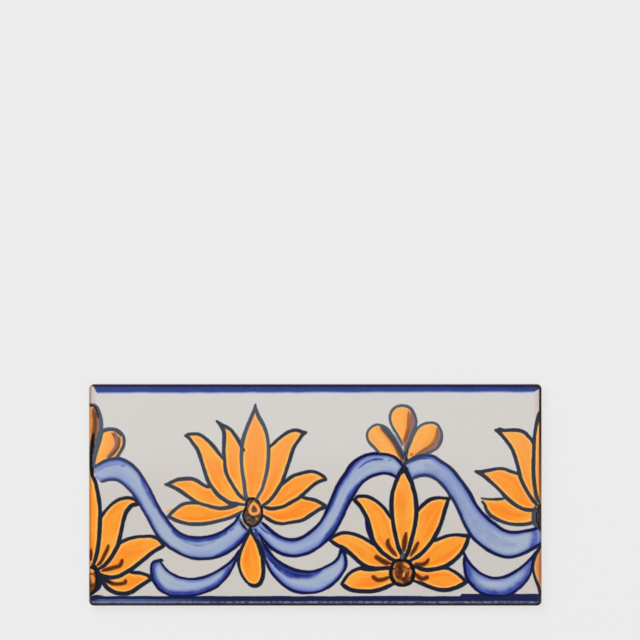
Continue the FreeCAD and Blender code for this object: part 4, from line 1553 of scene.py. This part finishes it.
@dataclass(frozen=True)
class MajolicaGlaze:
    """Tin glaze over a red clay body, painted with cobalt, orange and iron brown, then fired.

    Colours are given as a screen shows them.

    Attributes:
        white, white_warm: The bare tin glaze, and its darker, warmer tone towards the lower long side and in
            small pits.
        orange_deep, orange, orange_pale: Orange, from the most paint to where it thins out to yellow.
        orange_thin: Orange of the upper shapes, which took less paint.
        orange_halo, orange_wan: Orange drawn back beside an outline, and wiped thin in the buds.
        ribbon, ribbon_grey, ribbon_violet: The pale blue of the scroll, and its patches.
        wash, wash_deep, lift: The cobalt wash, where it pools, and where it was wiped thin.
        mauve: Shade of the buds.
        brown, brown_deep: The iron touches, and where they pool.
        heart, heart_grey, heart_light: The low and the tall flowers' hearts, and what is wiped off them.
        navy, navy_pale: The outline over white and blue, and where the brush ran dry.
        slate, slate_pale: The outline over orange, and where the brush ran dry.
        soot: The outline round the hearts.
        stripe_outer, stripe_inner, stripe_faded: The upper stripe, from the tile's edge to the white.
        stripe_low, stripe_thin: The lower stripe, and its thinner paint towards the left end.
        stripe_painted_highlight: A broken painted highlight along the lower edge, where it rolls over.
        rim, rim_warm, rim_painted_shade: Glaze drawn thin over the edge, beside the short edges, and painted
            shade on the edge.
        clay, clay_dark: The fired body on the sides and the back, and its darker specks.
        steps: Where the colours change.
    """

    white: Colour = srgb(210, 206, 202)
    white_warm: Colour = srgb(203, 197, 192)
    orange_deep: Colour = srgb(249, 134, 30)
    orange: Colour = srgb(249, 153, 42)
    orange_pale: Colour = srgb(244, 179, 78)
    orange_thin: Colour = srgb(248, 161, 80)
    orange_halo: Colour = srgb(246, 192, 106)
    orange_wan: Colour = srgb(248, 184, 96)
    ribbon: Colour = srgb(155, 170, 199)
    ribbon_grey: Colour = srgb(164, 177, 197)
    ribbon_violet: Colour = srgb(132, 148, 203)
    wash: Colour = srgb(62, 80, 168)
    wash_deep: Colour = srgb(20, 28, 98)
    lift: Colour = srgb(196, 206, 226)
    mauve: Colour = srgb(142, 106, 99)
    brown: Colour = srgb(124, 60, 12)
    brown_deep: Colour = srgb(80, 27, 1)
    heart: Colour = srgb(102, 48, 12)
    heart_grey: Colour = srgb(84, 66, 56)
    heart_light: Colour = srgb(246, 158, 80)
    navy: Colour = srgb(6, 15, 68)
    navy_pale: Colour = srgb(86, 98, 132)
    slate: Colour = srgb(24, 30, 32)
    slate_pale: Colour = srgb(92, 98, 100)
    soot: Colour = srgb(12, 9, 11)
    stripe_outer: Colour = srgb(24, 33, 78)
    stripe_inner: Colour = srgb(47, 65, 134)
    stripe_faded: Colour = srgb(202, 209, 226)
    stripe_low: Colour = srgb(13, 23, 70)
    stripe_thin: Colour = srgb(72, 92, 152)
    stripe_painted_highlight: Colour = srgb(116, 124, 144)
    rim: Colour = srgb(194, 176, 162)
    rim_warm: Colour = srgb(207, 190, 184)
    rim_painted_shade: Colour = srgb(46, 38, 32)
    clay: Colour = srgb(190, 140, 104)
    clay_dark: Colour = srgb(150, 104, 76)
    steps: GlazeSteps = GlazeSteps()

    def material(self) -> bpy.types.Material:
        """Build the material, which reads the attributes that the brushwork leaves on the tile."""
        made = bpy.data.materials.new("majolica_glaze")
        made.use_nodes = True
        made.node_tree.nodes.clear()
        GlazeCoats(self, Wiring(made.node_tree)).lay()
        return made


class GlazeCoats:
    """Lays the coats of the glaze over each other in a node tree.

    Attributes:
        paint: The colours.
        steps: Where they change.
        wire: The tree.
        place: Where the point is, and its x, y and z by themselves.
        face: 1 on the flat of the face, and less the further the edge has turned down.
        orange_share: Share of orange in the fill, with blue_share and heart_share beside it.
        across: Place across the pull of the brush, with along and seed beside it.
        gap: Gap to the nearest outline's edge, with the line's tone beside it.
        petal: 0 on the ribbon's lines and 1 on all others.
        grain: How far a brush edge strays.
    """

    def __init__(self, paint: MajolicaGlaze, wire: Wiring) -> None:
        """Read what all the coats need.

        Args:
            paint: The colours.
            wire: The tree.
        """
        self.paint, self.steps, self.wire = paint, paint.steps, wire
        self.place = wire.get("ShaderNodeTexCoord", out="Object")
        self.x, self.y, self.z = self.place.parts()
        self.face = wire.get("ShaderNodeAttribute", out="Fac", attribute_name="face")
        self.orange_share, self.blue_share, self.heart_share = self._kept("ground")
        self.across, self.along, self.seed = self._kept("brush")
        self.gap, self.tone, self.petal = self._kept("ink")
        pressure = (self._noise(self.steps.pressure_grain) - 0.5) * self.steps.pressure
        ragged = (self._noise(self.steps.ragged_grain) - 0.5) * self.steps.ragged
        self.grain = pressure + ragged

    def lay(self) -> None:
        """Build the whole finish, from the white up to the clay that shows at the sides."""
        paint, steps, wire, face = self.paint, self.steps, self.wire, self.face
        colour = self._tints(self._fills(self._bare_glaze()))
        ink, colour = self._outline(colour)
        # Painted shade: the thin glaze of the turned edge is darkened, most on the lower and right sides
        edge_shade = face.ramp(*steps.turned) * face.ramp(*steps.rim_above) * self._painted_edge_shade()
        rolled = face.ramp(*steps.rolled) * face.ramp(*steps.rolled_above)
        bare = (self.z + self._noise(steps.drip_grain) * steps.drips).ramp(*steps.glaze_foot)
        shader = wire.get("ShaderNodeBsdfPrincipled", {
            "Base Color": wire.coats(colour, (face.ramp(*steps.rim), paint.rim), (edge_shade, paint.rim_painted_shade),
                                     (bare, self._clay())),
            "Roughness": bare.or_more(edge_shade) * steps.dull + ink.ramp(*steps.roughness),
            "Specular IOR Level": rolled.ramp(*steps.shine),
            "Normal": self._surface(bare),
        })
        output = wire.tree.nodes.new("ShaderNodeOutputMaterial")
        wire.tree.links.new(shader.socket, output.inputs[0])

    def _noise(self, grain: Grain) -> Signal:
        """Add a noise in the tile's own space."""
        return self.wire.noise(self.place, *grain)

    def _kept(self, label: str) -> list[Signal]:
        """Read an attribute that the brushwork kept, as its three numbers."""
        return self.wire.get("ShaderNodeAttribute", out="Vector", attribute_name=label).parts()

    def _bare_glaze(self) -> Signal:
        """The tin white, darker and warmer towards the lower long side along a slowly wandering line, and
        drawn thin at the edge.
        """
        paint, steps = self.paint, self.steps
        slow = (self._noise(steps.low_side_grain) - 0.5) * steps.low_side_wander
        return self.wire.coats(
            paint.white,
            ((self.y + slow).ramp(*steps.low_side_fade), paint.white_warm),
            (self.wire.math("ABSOLUTE", self.x).ramp(*steps.short_edges), paint.rim_warm),
            (self._noise(steps.pit_grain).ramp(*steps.pits), paint.white_warm),
            (self.face.ramp(*steps.face_end), paint.rim),
        )

    def _fills(self, colour: Signal) -> Signal:
        """Lay the filled shapes and the stripes over the white."""
        edge = self.steps.fill_edge
        stripe = self.wire.get("ShaderNodeAttribute", out="Fac", attribute_name="stripe")
        cobalt, cover = self._stripe()
        return self.wire.coats(
            colour,
            (self.orange_share.ramp(*edge), self._orange()),
            (self.blue_share.ramp(*edge), self._blue()),
            (self.heart_share.ramp(*edge), self._heart()),
            (stripe.ramp(*self.steps.stripe_edge) * cover, cobalt),
        )

    def _pulled(self, fine: float, long: float) -> Signal:
        """Streaks that follow the brush.

        Args:
            fine: How many streaks lie side by side.
            long: How often they change along the pull.

        Returns:
            A number from 0 to 1.
        """
        pull = self.wire.vector(self.across * fine, self.along * long, self.seed)
        return self.wire.noise(pull, *self.steps.pull_grain)

    def _off_middle(self) -> Signal:
        """How far across the pull a point lies from its middle, up to a half."""
        return self.wire.math("ABSOLUTE", self.across - 0.5)

    def _orange(self) -> Signal:
        """The orange of petals and leaves, streaked along the pull and paler towards the outline."""
        paint, steps = self.paint, self.steps
        return self.wire.coats(
            paint.orange_deep,
            (self._pulled(*steps.orange_pull).ramp(*steps.orange_streaks), paint.orange),
            (self.y.ramp(*steps.orange_up), paint.orange_thin),
            (self._noise(steps.orange_grain).ramp(*steps.orange_patches), paint.orange_pale),
            (self._off_middle().ramp(*steps.orange_sides), paint.orange_pale),
            (self.gap.ramp(*steps.orange_halo), paint.orange_halo),
        )

    def _blue(self) -> Signal:
        """The ribbon's blue, greyer along the middle and bluer towards the outline."""
        paint, steps = self.paint, self.steps
        drift = self._pulled(*steps.blue_pull)
        uneven = (drift - 0.5) * steps.blue_uneven
        return self.wire.coats(
            paint.ribbon,
            (drift.ramp(*steps.blue_drift), paint.ribbon_grey),
            ((self._off_middle() - uneven).ramp(*steps.blue_sides), paint.ribbon_violet),
        )

    def _heart(self) -> Signal:
        """The blotched brown of the hearts."""
        paint, steps = self.paint, self.steps
        blot = self._noise(steps.heart_grain)
        return self.wire.coats(
            paint.heart,
            (self.y.ramp(*steps.heart_up), paint.heart_grey),
            (blot.ramp(*steps.heart_dark), paint.soot),
            (blot.ramp(*steps.heart_bright), paint.heart_light),
        )

    def _stripe(self) -> tuple[Signal, Signal]:
        """The two edge stripes: the upper one fades inwards, the lower one has a broken painted highlight
        along its ridge.

        Returns:
            The stripe's colour, and how much of it covers the glaze.
        """
        paint, steps, wire = self.paint, self.steps, self.wire
        level = self.y + (self._noise(steps.stripe_grain) - 0.5) * steps.stripe_wander
        tilted = level - self.x * steps.stripe_tilt
        upper = wire.coats(
            paint.stripe_outer,
            (level.ramp(*steps.upper_bright), paint.stripe_inner),
            (tilted.ramp(*steps.upper_fade), paint.stripe_faded),
        )
        thinner = self.x.ramp(*steps.thin_left) * self.x.ramp(*steps.thin_left_end)
        # Painted highlight along the roll of the lower edge, broken by noise
        ridge = level.ramp(*steps.highlight_outer) * level.ramp(*steps.highlight_inner)
        highlight_breaks = self._noise(steps.highlight_grain).ramp(*steps.highlight_gaps)
        lower = wire.coats(
            paint.stripe_low,
            (thinner * level.ramp(*steps.thin_low), paint.stripe_thin),
            (ridge * highlight_breaks, paint.stripe_painted_highlight),
        )
        raised = level - self.x.ramp(*steps.lower_raised)
        cover = raised.ramp(*steps.lower_end).or_more(tilted.ramp(*steps.upper_end))
        is_lower = wire.math("LESS_THAN", self.y, 0.0)
        return wire.coats(upper, (is_lower, lower)), cover

    def _tints(self, colour: Signal) -> Signal:
        """Lay the washes, the soft marks and the brown touches over the fills."""
        paint, steps, wire = self.paint, self.steps, self.wire
        cloud = self._noise(steps.wash_grain).ramp(*steps.wash_cloud)
        for brush in (Tint.WASH, Tint.STREAK):
            _, tone, inside = self._kept(brush.value)
            amount = inside.ramp(*steps.wash_edge) * self.blue_share * cloud
            laid = amount * tone.or_more(0.0)
            wiped = amount * (tone * -1.0).or_more(0.0)
            colour = wire.coats(
                colour,
                (laid.ramp(*steps.wash_laid), paint.wash),
                (laid.ramp(*steps.wash_pooled), paint.wash_deep),
                (wiped.ramp(*steps.wash_wiped), paint.lift),
            )
        _, tone, inside = self._kept(Tint.SOFT.value)
        soft = inside.ramp(*steps.soft_edge) * tone
        gap, tone, inside = self._kept(Tint.IRON.value)
        iron = wire.coats(paint.brown, (inside.ramp(*steps.iron_pooled), paint.brown_deep))
        return wire.coats(
            colour,
            (soft * self.orange_share, paint.mauve),
            (soft * -1.0 * self.orange_share, paint.orange_wan),
            (soft * self.heart_share, paint.heart_light),
            ((gap + self.grain).ramp(*steps.iron_edge) * tone, iron),
        )

    def _outline(self, colour: Signal) -> tuple[Signal, Signal]:
        """Lay the dark outline, which turns slate where it crosses orange.

        Args:
            colour: The colour so far.

        Returns:
            The outline's share and the colour with the outline.
        """
        paint, steps, wire = self.paint, self.steps, self.wire
        ragged = self.gap + self.grain
        ink = ragged.ramp(*steps.line_edge)
        full = self.tone.ramp(*steps.line_load)
        cold = wire.coats(paint.navy_pale, (full, paint.navy))
        slate = wire.coats(paint.slate_pale, (full, paint.slate))
        warm = self.orange_share.ramp(*steps.over_orange).or_more(self.petal * steps.petal_warmth)
        sooty = self.heart_share.ramp(*steps.over_heart).or_more(self.tone.ramp(*steps.soot_load))
        line = wire.coats(cold, (warm, slate), (sooty, paint.soot))
        bled = ragged.ramp(*steps.line_bled) * self.blue_share
        return ink, wire.coats(colour, (bled, paint.wash), (ink, line))

    def _painted_edge_shade(self) -> Signal:
        """How much painted shade darkens the thin glaze of the edge: most at the lower side and high up on
        the right.
        """
        steps = self.steps
        right = self.x.ramp(*steps.shade_right) * self.y.ramp(*steps.shade_right_up)
        return right.or_more(self.x.ramp(*steps.shade_left)).or_more(self.y.ramp(*steps.shade_low))

    def _clay(self) -> Signal:
        """The fired body with its specks and slow changes of shade."""
        paint, steps = self.paint, self.steps
        return self.wire.coats(
            paint.clay,
            (self._noise(steps.clay_grain).ramp(*steps.clay_patches), paint.clay_dark),
            (self._noise(steps.speck_grain).ramp(*steps.specks), paint.clay_dark),
        )

    def _surface(self, bare: Signal) -> Signal:
        """The fine unevenness of the glaze, and the grain of the clay where it is bare."""
        steps = self.steps
        height = self._noise(steps.skin_grain) * steps.skin + self._noise(steps.grit_grain) * bare
        values = {"Height": height, "Strength": steps.bump_strength, "Distance": steps.bump_height}
        return self.wire.get("ShaderNodeBump", values)


@dataclass(frozen=True)
class Lamp:
    """A soft square lamp that looks at the tile.

    Attributes:
        name: Its name.
        place: Where it hangs, in metres.
        power: Its power in watts.
        size: Its side in metres.
    """

    name: str
    place: tuple[float, float, float]
    power: float
    size: float = 1.6

    def hang(self) -> None:
        """Put the lamp into the scene, unseen by the camera."""
        light = bpy.data.lights.new(self.name, "AREA")
        light.size = self.size
        light.energy = self.power
        lamp = placed(self.name, light)
        lamp.visible_camera = False
        lamp.location = self.place
        lamp.rotation_mode = "QUATERNION"
        lamp.rotation_quaternion = lamp.location.to_track_quat("Z", "Y")


@dataclass(frozen=True)
class Studio:
    """The pale floor, the soft light and the camera straight above.

    Attributes:
        floor_size: Half of the floor's side in metres.
        floor_drop: How far the floor lies under the tile's back, in metres.
        floor_colour: The floor as the camera sees it.
        floor_glow: Share of the floor's brightness that no shadow takes away.
        floor_roughness: How dull the floor is.
        frame_width: Width of the picture at the tile's face, in metres.
        aim: Where the picture's middle falls, from the middle of the tile, in metres.
        distance: Height of the camera over the face, in metres.
        sensor: Width of the camera's sensor in millimetres.
        view_end: How far the camera sees, in metres.
        sky: Brightness of the room, from the horizon to near overhead.
        lamps: The lamps over the tile.
    """

    floor_size: float = 3.0
    floor_drop: float = 0.0001
    floor_colour: Colour = srgb(235, 235, 235)
    floor_glow: float = 0.85
    floor_roughness: float = 0.95
    frame_width: float = 0.28255
    aim: tuple[float, float] = (0.00207, 0.07725)
    distance: float = 3.0
    sensor: float = 36.0
    view_end: float = 10.0
    sky: Step = (0.0, 0.9, 0.7, 0.12)
    lamps: tuple[Lamp, ...] = (
        Lamp("key_light", (-0.8, 0.95, 2.3), 51.0),
        Lamp("fill_light", (0.95, -0.75, 2.3), 17.0),
    )

    def build(self, face_height: float) -> None:
        """Set up the floor, the lights, the room and the camera.

        Args:
            face_height: Height of the tile's face in metres.
        """
        self._floor()
        self._room()
        for lamp in self.lamps:
            lamp.hang()
        self._camera(face_height)
        bpy.context.scene.view_settings.view_transform = "Standard"

    def _floor(self) -> None:
        """Lay the floor under the tile, which is seen through from below."""
        half = self.floor_size
        corners = [(x * half, y * half, -self.floor_drop) for x, y in ((-1, -1), (1, -1), (1, 1), (-1, 1))]
        mesh = bpy.data.meshes.new("studio_floor")
        mesh.from_pydata(corners, [], [(0, 1, 2, 3)])
        paper = bpy.data.materials.new("studio_paper")
        paper.use_nodes = True
        paper.node_tree.nodes.clear()
        wire = Wiring(paper.node_tree)
        paint = [(1.0 - self.floor_glow) * part for part in self.floor_colour]
        sheet = wire.get("ShaderNodeBsdfPrincipled", {
            "Base Color": (*paint, 1.0),
            "Emission Color": (*self.floor_colour, 1.0),
            "Emission Strength": self.floor_glow,
            "Roughness": self.floor_roughness,
            "Specular IOR Level": 0.0,
        })
        under = wire.get("ShaderNodeNewGeometry", out="Backfacing")
        self._show(wire, "ShaderNodeOutputMaterial", under, sheet, wire.get("ShaderNodeBsdfTransparent"))
        mesh.materials.append(paper)
        placed("studio_floor", mesh)

    def _show(self, wire: Wiring, output: str, share: Signal, one: Signal, other: Signal) -> None:
        """Send a mix of two shaders to the tree's output.

        Args:
            wire: The tree.
            output: Type of the output node.
            share: Where the other shader shows.
            one: The shader that shows elsewhere.
            other: The other shader.
        """
        both = wire.get("ShaderNodeMixShader", {0: share, 1: one, 2: other})
        wire.node(output, {0: both})

    def _room(self) -> None:
        """Give the room its soft light, brighter at the sides than overhead."""
        world = bpy.data.worlds.new("studio_room")
        world.use_nodes = True
        world.node_tree.nodes.clear()
        wire = Wiring(world.node_tree)
        _, _, up = wire.get("ShaderNodeTexCoord", out="Generated").parts()
        light = {"Color": (1.0, 1.0, 1.0, 1.0), "Strength": up.ramp(*self.sky)}
        room = wire.get("ShaderNodeBackground", light)
        paper = wire.get("ShaderNodeBackground", {"Color": (*self.floor_colour, 1.0)})
        seen = wire.get("ShaderNodeLightPath", out="Is Camera Ray")
        self._show(wire, "ShaderNodeOutputWorld", seen, room, paper)
        bpy.context.scene.world = world

    def _camera(self, face_height: float) -> None:
        """Hang the camera over the tile, looking straight down.

        Args:
            face_height: Height of the tile's face in metres.
        """
        lens = bpy.data.cameras.new("overhead_camera")
        lens.sensor_width = self.sensor
        lens.lens = self.sensor * self.distance / self.frame_width
        lens.clip_end = self.view_end
        camera = placed("overhead_camera", lens)
        camera.location = (*self.aim, face_height + self.distance)
        bpy.context.scene.camera = camera


def main() -> None:
    """Build the tile and the studio."""
    logging.basicConfig(level=logging.INFO, format="%(name)s: %(message)s")
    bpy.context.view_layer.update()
    glaze = MajolicaGlaze().material()
    slab = TileBlank().build("painted_tile")
    log.info("%s: slab with %d faces", slab.name, len(slab.data.polygons))
    painting = whole_painting()
    tile = Brushwork().lay(slab, painting, glaze)
    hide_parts(TILE_NODE)
    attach(tile, TILE_BODY)
    triangles = sum(len(face.vertices) - 2 for face in tile.data.polygons)
    log.info("%s: %d filled shapes, %d triangles", tile.name, len(painting.patches), triangles)
    Studio().build(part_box(TILE_NODE)[1][2])


if __name__ == "__main__":
    main()
